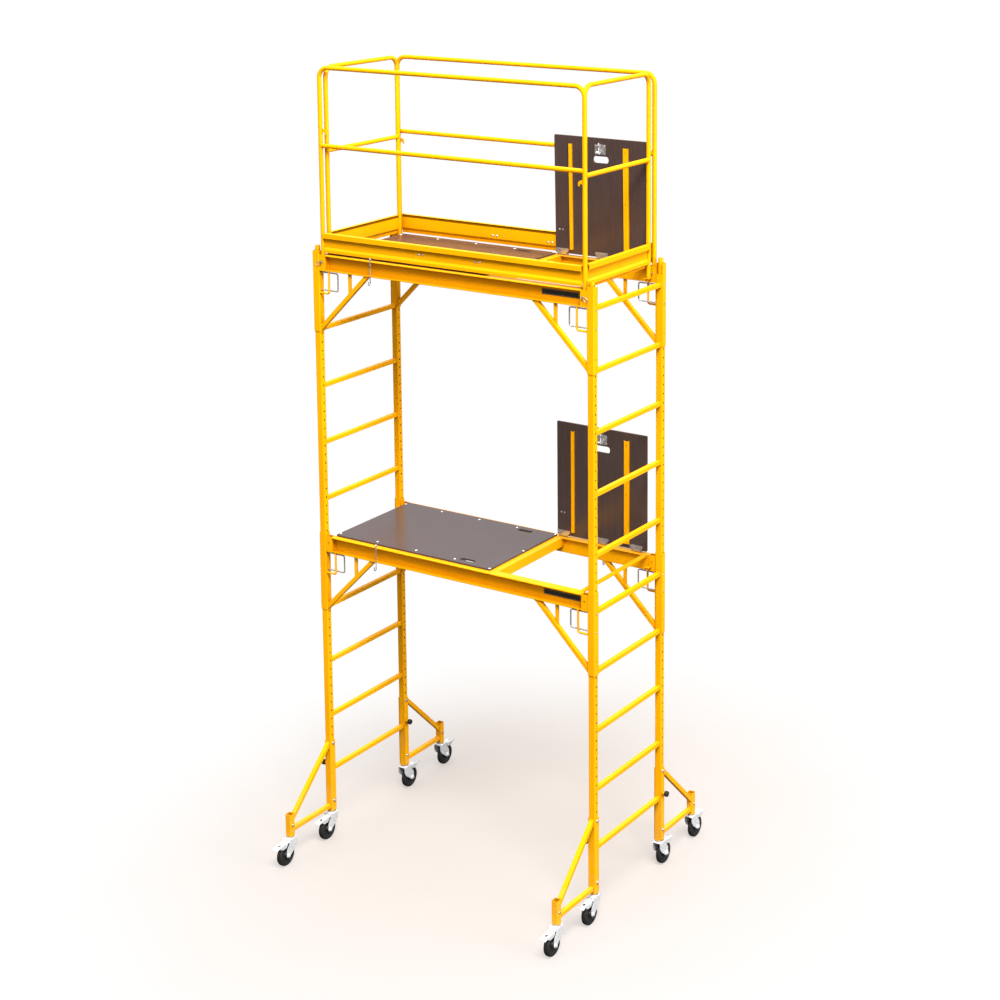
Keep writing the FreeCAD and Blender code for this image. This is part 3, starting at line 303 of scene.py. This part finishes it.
def plastic(name, col, rough, grain=900.0):
    k = Mat(name)
    edge, nb = k.edge(0.0010)
    cloud = k.noise(60.0, 4.0, 0.6)
    c = k.mix(k.step(cloud, 0.35, 0.75), col, tuple(min(1.0, x * 1.7 + 0.004) for x in col))
    c = k.mix(k.math("MULTIPLY", k.step(edge, 0.08, 0.35), 0.45), c, tuple(min(1.0, x * 2.6 + 0.03) for x in col))
    k.set("Base Color", c)
    k.set("Roughness", k.math("ADD", rough, k.math("MULTIPLY", cloud, 0.12)))
    k.set("Normal", k.bump(k.noise(grain, 3.0, 0.7), 0.22, 0.0003, nb))
    return k.m


def tread_rubber():
    """Moulded black rubber with fine circumferential lines and dust on the tread."""
    k = Mat("tread_rubber")
    edge, nb = k.edge(0.0010)
    dust = k.noise(75.0, 5.0, 0.7)
    fine = k.noise(700.0, 3.0, 0.7)
    x = k.xyz(k.tc.outputs["Object"])[0]
    ring = k.math("SINE", k.math("MULTIPLY", x, 2 * math.pi / 0.0031))
    col = k.mix(k.step(dust, 0.40, 0.80), (0.0055, 0.0055, 0.0058), (0.014, 0.0135, 0.013))
    col = k.mix(k.math("MULTIPLY", k.step(dust, 0.62, 0.80), 0.18), col, (0.10, 0.092, 0.085))
    k.set("Base Color", col)
    k.set("Roughness", k.math("ADD", 0.52, k.math("MULTIPLY", dust, 0.25)))
    n = k.bump(ring, 0.18, 0.0003, nb)
    k.set("Normal", k.bump(fine, 0.35, 0.0003, n))
    return k.m


def weld_paint():
    """The same yellow coat, a little thicker and rounder over the weld beads."""
    k = Mat("painted_weld")
    mid = k.noise(160.0, 4.0, 0.6)
    col = k.mix(k.step(mid, 0.35, 0.75), (0.86, 0.345, 0.0010), (0.96, 0.425, 0.0016))
    k.set("Base Color", col)
    k.bsdf.inputs["Specular IOR Level"].default_value = 0.40
    k.bsdf.inputs["Specular Tint"].default_value = (1.0, 0.62, 0.06, 1)
    k.set("Roughness", k.math("ADD", 0.30, k.math("MULTIPLY", mid, 0.14)))
    k.set("Normal", k.bump(k.noise(420.0, 2.0, 0.5), 0.25, 0.0006))
    return k.m


M_YELLOW = yellow_paint()
M_TOE = yellow_paint("yellow_powder_coat_toe_board", hem=True)


def tube_inside():
    """Bare mill steel inside the tubes, with rust bloom."""
    k = Mat("bare_tube_inside_and_hole_shade")
    n = k.noise(70.0, 6.0, 0.7)
    # painted shade: the bore and the holes' walls are kept near black so the holes read dark; the bare steel inside the
    # bore is real
    col = k.ramp(n, [(0.30, (0.014, 0.010, 0.008)), (0.55, (0.030, 0.018, 0.011)), (0.75, (0.075, 0.038, 0.014))])
    k.set("Base Color", col)
    k.set("Roughness", 0.72)
    k.set("Metallic", 0.3)
    k.set("Normal", k.bump(n, 0.3, 0.0005))
    return k.m


M_INSIDE = tube_inside()
M_ZINC = zinc()
M_ZINC_BRIGHT = zinc("zinc_pressed", 1.42)
M_SCREW = zinc("zinc_screw_head", 1.40)
M_DECK = film_ply("film_plywood_deck", 0)
M_HATCH = film_ply("film_plywood_hatch", 2)
M_KNOB = plastic("black_knob_plastic", (0.008, 0.008, 0.0085), 0.42)
M_CORE = plastic("black_wheel_core", (0.008, 0.008, 0.0085), 0.46)
M_RUBBER = tread_rubber()
M_WELD = weld_paint()
M_LABEL = plastic("label_black_film", (0.010, 0.010, 0.010), 0.30, 300.0)
M_BORDER = plastic("label_border_film", (0.36, 0.25, 0.10), 0.38, 300.0)


# ------------------------------------------------------------------ dress the CAD nodes
def smooth(o, angle=32.0):
    me = o.data
    me.polygons.foreach_set("use_smooth", [True] * len(me.polygons))
    try:
        me.set_sharp_from_angle(angle=math.radians(angle))
    except Exception:
        pass


def dress(name, *mats, choose=None):
    o = NODES[name]
    o.data.materials.clear()
    for m in mats:
        o.data.materials.append(m)
    idx = [0] * len(o.data.polygons)
    if choose is not None:
        idx = [choose(p.center) for p in o.data.polygons]
    o.data.polygons.foreach_set("material_index", idx)


def inside_post(u, v, h):
    """1 for the walls of a square post's bore and of the holes through it."""
    if math.hypot(u, v) < 0.0146 or h < 0.0004 or h > 1.6506:
        return 0
    if u < 0.01895 and v < 0.0052:
        return 1
    return 1 if u < 0.0172 and v < 0.0172 and math.hypot(max(u - 0.01455, 0), max(v - 0.01455, 0)) < 0.0033 else 0


for name, o in NODES.items():
    if name.endswith("_wheel"):
        lo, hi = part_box(name)
        cy, cz, cx = (lo.y + hi.y) / 2, (lo.z + hi.z) / 2, (lo.x + hi.x) / 2
        dress(name, M_CORE, M_RUBBER,
              choose=lambda c: 1 if math.hypot(c.y - cy, c.z - cz) > 0.0494 and abs(c.x - cx) < 0.0163 else 0)
    elif name.endswith("_brake_pedal") or name.endswith("_fork"):
        dress(name, M_ZINC_BRIGHT)
    elif name.endswith("_knob"):
        lo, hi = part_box(name)
        front = name.startswith("front")
        face = (lo.x + 0.0205) if front else (hi.x - 0.0205)
        dress(name, M_KNOB, M_ZINC, choose=lambda c: (0 if c.x < face else 1) if front else (0 if c.x > face else 1))
    elif name.endswith("_deck_panel"):
        dress(name, M_DECK)
    elif name.endswith("_hatch_panel"):
        dress(name, M_HATCH)
    elif name.endswith("_hatch_ironwork"):
        dress(name, M_ZINC, M_YELLOW,
              choose=lambda c: 1 if 0.3375 < c.x < 0.3575 or 0.6910 < c.x < 0.7228 else 0)
    elif name.endswith("_latch"):
        dress(name, M_ZINC_BRIGHT)
    elif name.endswith("_lock_pin") or name == "zinc_hardware":
        dress(name, M_ZINC)
    elif name == "toe_boards":
        dress(name, M_TOE)
    elif name.endswith("_end_frame"):
        px = -0.914 if name.startswith("left") else 0.914
        dress(name, M_YELLOW, M_INSIDE, M_ZINC,
              choose=lambda c: inside_post(abs(c.x - px), abs(abs(c.y) - 0.350), (c.z - 0.161) % 1.651))
    else:
        dress(name, M_YELLOW)
    smooth(o)


# ------------------------------------------------------------------ extra pieces
def new_piece(name, bm, mats, body):
    me = bpy.data.meshes.new(name)
    bm.to_mesh(me)
    bm.free()
    o = bpy.data.objects.new(name, me)
    SCENE.collection.objects.link(o)
    for m in mats:
        me.materials.append(m)
    smooth(o, 40.0)
    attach(o, body)
    return o


def bead(bm, path, r, closed=True, ripple=0.16, pitch=0.0042, sides=6):
    """A rippled weld bead along a path of points."""
    pts = [Vector(p) for p in path]
    n = len(pts)
    dense = []
    total = 0.0
    rng = n if closed else n - 1
    for i in range(rng):
        a, b = pts[i], pts[(i + 1) % n]
        d = (b - a).length
        k = max(1, int(round(d / (pitch / 2.4))))
        for j in range(k):
            dense.append((a.lerp(b, j / k), total + d * j / k))
        total += d
    if not closed:
        dense.append((pts[-1], total))
    m = len(dense)
    rings = []
    for i, (p, s) in enumerate(dense):
        a = dense[(i - 1) % m][0] if closed or i else p
        b = dense[(i + 1) % m][0] if closed or i < m - 1 else p
        t = (b - a)
        if t.length < 1e-9:
            t = Vector((0, 0, 1))
        t.normalize()
        u = t.orthogonal().normalized() if abs(t.z) > 0.9 else t.cross(Vector((0, 0, 1))).normalized()
        w = t.cross(u)
        rr = r * (1 + ripple * math.sin(2 * math.pi * s / pitch) + RNG.uniform(-0.07, 0.07))
        if not closed and i in (0, m - 1):
            rr *= 0.35
        rings.append([bm.verts.new(p + u * math.cos(q) * rr + w * math.sin(q) * rr)
                      for q in (2 * math.pi * j / sides for j in range(sides))])
    last = m if closed else m - 1
    for i in range(last):
        ra, rb = rings[i], rings[(i + 1) % m]
        for j in range(sides):
            bm.faces.new((ra[j], ra[(j + 1) % sides], rb[(j + 1) % sides], rb[j]))
    if not closed:
        bm.faces.new(list(reversed(rings[0])))
        bm.faces.new(rings[-1])


def square_loop(c, u, v, a, b, r=0.003):
    """Points round a rectangle of half sizes a and b with cut corners."""
    c, u, v = Vector(c), Vector(u), Vector(v)
    out = []
    for su, sv, swap in ((1, 1, 0), (-1, 1, 1), (-1, -1, 0), (1, -1, 1)):
        p = (su * (a - r), sv * b)
        q = (su * a, sv * (b - r))
        for x, y in ((q, p) if not swap else (p, q)):
            out.append(c + u * x + v * y)
    return out


def ring_loop(c, u, v, r, n=20):
    c, u, v = Vector(c), Vector(u), Vector(v)
    return [c + u * math.cos(2 * math.pi * i / n) * r + v * math.sin(2 * math.pi * i / n) * r for i in range(n)]


def sides():
    for sx in (-1, 1):
        for sy in (-1, 1):
            yield sx, sy


X, Y, Z = Vector((1, 0, 0)), Vector((0, 1, 0)), Vector((0, 0, 1))
POST_X, POST_Y, IN_Y = 0.914, 0.350, 0.33095
F0, FH = 0.161, 1.651

# rung welds, one piece per end frame
for side, sx in (("left", -1), ("right", 1)):
    for level, dz in (("lower", 0.0), ("upper", FH)):
        bm = bmesh.new()
        for k in range(5):
            z = F0 + dz + 0.2555 + 0.3343 * k
            for sy in (-1, 1):
                bead(bm, square_loop((sx * POST_X, sy * (IN_Y - 0.0006), z), X, Z, 0.0134, 0.0134), 0.0019)
        new_piece(f"{side}_{level}_rung_welds", bm, [M_WELD], "tower")

# platform frame welds
for level, dz in (("lower", 0.0), ("upper", FH)):
    bm = bmesh.new()
    for sx, sy in sides():
        # socket to sleeve down the outer corner, and the beam's web to the socket
        for x, y0, r in ((0.8907, 0.3685, 0.0019), (0.8490, 0.3376, 0.0017)):
            bead(bm, [(sx * x, sy * y0, 1.7655 + dz), (sx * x, sy * y0, 1.8490 + dz)], r, closed=False)
        # brace ends
        bead(bm, square_loop((sx * 0.8912, sy * 0.350, 1.4318 + dz), Y, Z, 0.0136, 0.0185), 0.0019)
        bead(bm, square_loop((sx * 0.5610, sy * 0.350, 1.7610 + dz), X, Y, 0.0185, 0.0136), 0.0019)
        # strut top
        bead(bm, square_loop((sx * 0.687, sy * 0.350, 1.7610 + dz), X, Y, 0.0106, 0.0061, 0.002), 0.0015)
        # guard rod ends
        bead(bm, ring_loop((sx * 0.827, sy * 0.362, 1.7610 + dz), X, Y, 0.0064), 0.0015)
        bead(bm, ring_loop((sx * 0.8912, sy * 0.362, 1.634 + dz), Y, Z, 0.0064), 0.0015)
    for sy in (-1, 1):
        for xc, w, h in ((0.248, 0.035, 0.052), (-0.5630, 0.0125, 0.025), (-0.290, 0.0125, 0.025),
                         (-0.022, 0.0125, 0.025), (0.8275, 0.0125, 0.010), (-0.8275, 0.0125, 0.010)):
            bead(bm, [(xc - w, sy * 0.3336, 1.8530 - h + dz), (xc + w, sy * 0.3336, 1.8530 - h + dz)], 0.0016,
                 closed=False)
    new_piece(f"{level}_platform_welds", bm, [M_WELD], "tower")

# outrigger welds
for face, sy in (("front", -1), ("back", 1)):
    for side, sx in (("left", -1), ("right", 1)):
        bm = bmesh.new()
        x = sx * POST_X
        bead(bm, square_loop((x, sy * 0.3727, 0.5765), X, Z, 0.0135, 0.0182), 0.0019)
        bead(bm, square_loop((x, sy * 0.6985, 0.2612), X, Z, 0.0135, 0.0182), 0.0019)
        bead(bm, square_loop((x, sy * 0.3727, 0.1940), X, Z, 0.0134, 0.0134), 0.0019)
        bead(bm, square_loop((x, sy * 0.6985, 0.1940), X, Z, 0.0134, 0.0134), 0.0019)
        kx = x + (-0.02235 if sy < 0 else 0.02235)
        bead(bm, ring_loop((kx, sy * POST_Y, 0.449), Y, Z, 0.0099, 24), 0.0015)
        new_piece(f"{face}_{side}_outrigger_welds", bm, [M_WELD], "tower")

# guardrail mid rail welds, along the saddle where two equal tubes meet
def saddle(c, rail, side, r=0.0127, n=36):
    c, out = Vector(c), []
    for i in range(n):
        q = 2 * math.pi * i / n
        out.append(c - rail * (r * abs(math.sin(q))) + side * (r * math.cos(q)) + Z * (r * math.sin(q)))
    return out


for name, at in (("front", -0.3515), ("back", 0.3515)):
    bm = bmesh.new()
    for s in (-1, 1):
        bead(bm, saddle((s * 0.872, at, 4.1225), X * s, Y), 0.0015, pitch=0.0036)
    new_piece(f"{name}_guardrail_welds", bm, [M_WELD], "tower")
for name, at in (("left", -0.853), ("right", 0.853)):
    bm = bmesh.new()
    for s in (-1, 1):
        bead(bm, saddle((at, s * 0.321, 4.0925), Y * s, X), 0.0015, pitch=0.0036)
    new_piece(f"{name}_guardrail_welds", bm, [M_WELD], "tower")


# plain label plates on the front beams
def plate(bm, x0, x1, z0, z1, y, t, r, mat):
    pts = []
    for cx, cz, a0 in ((x1 - r, z1 - r, 0), (x0 + r, z1 - r, 90), (x0 + r, z0 + r, 180), (x1 - r, z0 + r, 270)):
        for k in range(6):
            a = math.radians(a0 + 18 * k)
            pts.append((cx + r * math.cos(a), cz + r * math.sin(a)))
    front = [bm.verts.new((px, y - t, pz)) for px, pz in pts]
    back = [bm.verts.new((px, y, pz)) for px, pz in pts]
    f = bm.faces.new(front)
    f.material_index = mat
    g = bm.faces.new(list(reversed(back)))
    g.material_index = mat
    for i in range(len(pts)):
        j = (i + 1) % len(pts)
        q = bm.faces.new((front[i], back[i], back[j], front[j]))
        q.material_index = mat


for level, z0, z1 in (("lower", 1.7955, 1.8275), ("upper", 3.4465, 3.4785)):
    bm = bmesh.new()
    plate(bm, 0.592, 0.829, z0, z1, -0.3371, 0.0006, 0.004, 0)
    for a, b, c, d in ((0.5955, 0.8255, z0 + 0.0030, z0 + 0.0040), (0.5955, 0.8255, z1 - 0.0040, z1 - 0.0030),
                       (0.5955, 0.5965, z0 + 0.0030, z1 - 0.0030), (0.8245, 0.8255, z0 + 0.0030, z1 - 0.0030)):
        plate(bm, a, b, c, d, -0.33775, 0.0002, 0.0003, 1)
    bmesh.ops.recalc_face_normals(bm, faces=bm.faces)
    new_piece(f"{level}_front_label_plate", bm, [M_LABEL, M_BORDER], "tower")

# domed screw heads, with a driver recess, standing a little proud of the deck
def dome(bm, c, r, h, n=24, axis=Z):
    u = axis.orthogonal().normalized()
    w = axis.cross(u)
    rings = []
    for rr, hh in ((1.0, 0.0), (0.97, 0.30), (0.86, 0.62), (0.66, 0.86), (0.42, 0.97), (0.36, 0.985)):
        rings.append([bm.verts.new(c + (u * math.cos(a) + w * math.sin(a)) * (r * rr) + axis * (h * hh))
                      for a in (2 * math.pi * i / n for i in range(n))])
    for ra, rb in zip(rings, rings[1:]):
        for i in range(n):
            bm.faces.new((ra[i], ra[(i + 1) % n], rb[(i + 1) % n], rb[i]))
    # six-lobed recess
    low = []
    for i in range(n):
        a = 2 * math.pi * i / n
        q = 0.30 * (1 - 0.22 * (0.5 + 0.5 * math.cos(6 * a)))
        low.append(bm.verts.new(c + (u * math.cos(a) + w * math.sin(a)) * (r * q) + axis * (h * 0.35)))
    for i in range(n):
        bm.faces.new((rings[-1][i], rings[-1][(i + 1) % n], low[(i + 1) % n], low[i]))
    bm.faces.new(low)
    bm.faces.new(list(reversed(rings[0])))


deck_xy = [(x, s * 0.306) for x in (-0.831, -0.563, -0.290, -0.022) for s in (-1, 1)]
deck_xy += [(0.230, -0.328), (0.230, 0.328), (0.230, 0.0)]
for level, dz in (("lower", 0.0), ("upper", FH)):
    bm = bmesh.new()
    for x, y in deck_xy:
        dome(bm, Vector((x, y, 1.8630 + dz)), 0.0071, 0.0019)
    new_piece(f"{level}_deck_screw_heads", bm, [M_SCREW], "tower")

# rolled hems along the lower edges of the toe boards' skirts, open where a deck hook passes
HEM = [(-0.0010, 0.0004), (-0.0012, -0.0016), (-0.0009, -0.0027), (0.0, -0.0032), (0.0009, -0.0027),
       (0.0012, -0.0016), (0.0010, 0.0004)]


def hem(bm, at, z, a, b, along):
    """One length of hem from a to b; along is 0 for x and 1 for y, at is the skirt's middle on the other axis."""
    ends = []
    for t in (a, b):
        ends.append([bm.verts.new((t, at + u, z + v) if along == 0 else (at + u, t, z + v)) for u, v in HEM])
    n = len(HEM)
    for i in range(n):
        bm.faces.new((ends[0][i], ends[0][(i + 1) % n], ends[1][(i + 1) % n], ends[1][i]))
    bm.faces.new(ends[0])
    bm.faces.new(tuple(reversed(ends[1])))


bm = bmesh.new()
for sy, hook_x in ((-1, (-0.525,)), (1, (0.525,))):
    marks = [-0.8585] + [x + d for x in hook_x for d in (-0.006, 0.006)] + [0.8585]
    for a, b in zip(marks[::2], marks[1::2]):
        hem(bm, sy * 0.359, 3.521, a, b, 0)
for sx in (-1, 1):
    hem(bm, sx * 0.860, 3.521, -0.3078, 0.3078, 1)
bmesh.ops.recalc_face_normals(bm, faces=bm.faces)
new_piece("toe_board_rolled_hems", bm, [M_TOE], "tower")

# ------------------------------------------------------------------ stage: floor, light, camera
WORLD, KEY, TOP, SIDE = 1.20, 3300, 350, 620


def path_is(k, what):
    lp = k.n("ShaderNodeLightPath")
    return lp.outputs[what]


me = bpy.data.meshes.new("studio_floor")
bm = bmesh.new()
bmesh.ops.create_grid(bm, x_segments=8, y_segments=8, size=60.0)
bm.to_mesh(me)
bm.free()
floor = bpy.data.objects.new("studio_floor", me)
SCENE.collection.objects.link(floor)
k = Mat("pale_floor")
g = k.xyz(k.scaled(1.0, 1.0, 1.0))
# painted shadow: round the tower the floor is tinted darker and warmer, mottled, and glows less, fading to plain white
# by 2.5 m
dx = k.math("ADD", g[0], 0.10)
dy = k.math("MULTIPLY", k.math("SUBTRACT", g[1], 0.25), 0.85)
rad = k.math("SQRT", k.math("ADD", k.math("MULTIPLY", dx, dx), k.math("MULTIPLY", dy, dy)))
rad = k.math("ADD", rad, k.math("MULTIPLY", k.math("SUBTRACT", k.noise(1.1, 3.0), 0.5), 0.5))
floor_shadow_blob = k.math("SUBTRACT", 1.0, k.step(rad, 0.35, 2.5))
grain = k.noise(38.0, 6.0, 0.7)
tint = k.mix(floor_shadow_blob, (1.0, 0.995, 0.99), (0.895, 0.825, 0.775))
tint = k.mix(k.math("MULTIPLY", k.math("MULTIPLY", floor_shadow_blob, k.step(grain, 0.35, 0.75)), 0.10), tint, (0.80, 0.73, 0.68))
emis = k.n("ShaderNodeEmission")
k.link(tint, emis.inputs["Color"])
k.link(k.mixf(floor_shadow_blob, 1.02, 0.40), emis.inputs["Strength"])
diff = k.n("ShaderNodeBsdfDiffuse")
k.link(k.mix(floor_shadow_blob, (0.0, 0.0, 0.0), (0.270, 0.245, 0.228)), diff.inputs["Color"])
add = k.n("ShaderNodeAddShader")
k.link(emis.outputs[0], add.inputs[0])
k.link(diff.outputs[0], add.inputs[1])
bounce = k.n("ShaderNodeBsdfDiffuse")
bounce.inputs["Color"].default_value = (0.09, 0.085, 0.08, 1)
mx = k.n("ShaderNodeMixShader")
k.link(path_is(k, "Is Camera Ray"), mx.inputs[0])
k.link(bounce.outputs[0], mx.inputs[1])
k.link(add.outputs[0], mx.inputs[2])
k.link(mx.outputs[0], k.out.inputs[0])
me.materials.append(k.m)
floor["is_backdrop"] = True

world = bpy.data.worlds.new("studio")
SCENE.world = world
world.use_nodes = True
wt = world.node_tree
wt.nodes.clear()
wout = wt.nodes.new("ShaderNodeOutputWorld")
sky = wt.nodes.new("ShaderNodeBackground")
seen = wt.nodes.new("ShaderNodeBackground")
wmix = wt.nodes.new("ShaderNodeMixShader")
lp = wt.nodes.new("ShaderNodeLightPath")
tc = wt.nodes.new("ShaderNodeTexCoord")
sep = wt.nodes.new("ShaderNodeSeparateXYZ")
rmp = wt.nodes.new("ShaderNodeValToRGB")
wt.links.new(tc.outputs["Generated"], sep.inputs[0])
wt.links.new(sep.outputs[2], rmp.inputs[0])
rmp.color_ramp.elements[0].position = 0.0
rmp.color_ramp.elements[0].color = (0.31, 0.305, 0.30, 1)
rmp.color_ramp.elements[1].position = 0.85
rmp.color_ramp.elements[1].color = (1.10, 1.10, 1.10, 1)
wt.links.new(rmp.outputs[0], sky.inputs[0])
sky.inputs[1].default_value = WORLD
seen.inputs[0].default_value = (1, 1, 1, 1)
seen.inputs[1].default_value = 1.02
wt.links.new(lp.outputs["Is Camera Ray"], wmix.inputs[0])
wt.links.new(sky.outputs[0], wmix.inputs[1])
wt.links.new(seen.outputs[0], wmix.inputs[2])
wt.links.new(wmix.outputs[0], wout.inputs[0])


def area(name, loc, target, size, power, color=(1, 1, 1)):
    d = bpy.data.lights.new(name, "AREA")
    d.shape = "RECTANGLE"
    d.size, d.size_y = size
    d.energy = power
    d.color = color
    o = bpy.data.objects.new(name, d)
    SCENE.collection.objects.link(o)
    o.location = loc
    o.rotation_mode = "QUATERNION"
    o.rotation_quaternion = (Vector(target) - Vector(loc)).to_track_quat("-Z", "Y")
    return o


area("key", (5.9, -5.9, 13.4), (0, 0, 2.2), (5.0, 5.0), KEY, (1.0, 0.985, 0.955))
area("side", (10.5, 0.5, 4.6), (0, 0, 2.4), (4.0, 6.0), SIDE, (1.0, 0.995, 0.98))
area("top", (-1.0, 0.5, 11.0), (0, 0, 0), (6.0, 6.0), TOP, (1.0, 0.995, 0.99))

SCENE.view_settings.view_transform = "Standard"
SCENE.view_settings.look = "None"
SCENE.view_settings.exposure = 0.0
SCENE.view_settings.gamma = 1.0

# Camera: a long lens with its optical axis off the middle of the frame. The offset is driven by the camera's
# own place, so that it applies at this station only and a camera moved elsewhere looks straight ahead.
CAM_POS = Vector((6.34216, -8.92225, 5.75954))
R0 = Vector((0.851920258, 0.523671342, -0.000446199))
R1 = Vector((0.0837389826, -0.137069446, -0.987015577))
R2 = Vector((-0.516932932, 0.840821201, -0.160623944))
cd = bpy.data.cameras.new("studio_camera")
cam = bpy.data.objects.new("studio_camera", cd)
SCENE.collection.objects.link(cam)
m = Matrix((R0, -R1, -R2)).transposed().to_4x4()
m.translation = CAM_POS
cam.matrix_world = m
cd.sensor_fit = "HORIZONTAL"
cd.sensor_width = 36.0
cd.lens = 72.3714
cd.clip_start = 0.05
cd.clip_end = 200.0
for prop, value in (("shift_x", -0.118244), ("shift_y", -0.325201)):
    dr = cd.driver_add(prop).driver
    dr.type = "SCRIPTED"
    v = dr.variables.new()
    v.name = "x"
    v.type = "SINGLE_PROP"
    v.targets[0].id = cam
    v.targets[0].data_path = "location.x"
    dr.expression = "%.6f * (abs(x - %.5f) < 0.001)" % (value, CAM_POS.x)
SCENE.camera = cam

lo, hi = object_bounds()
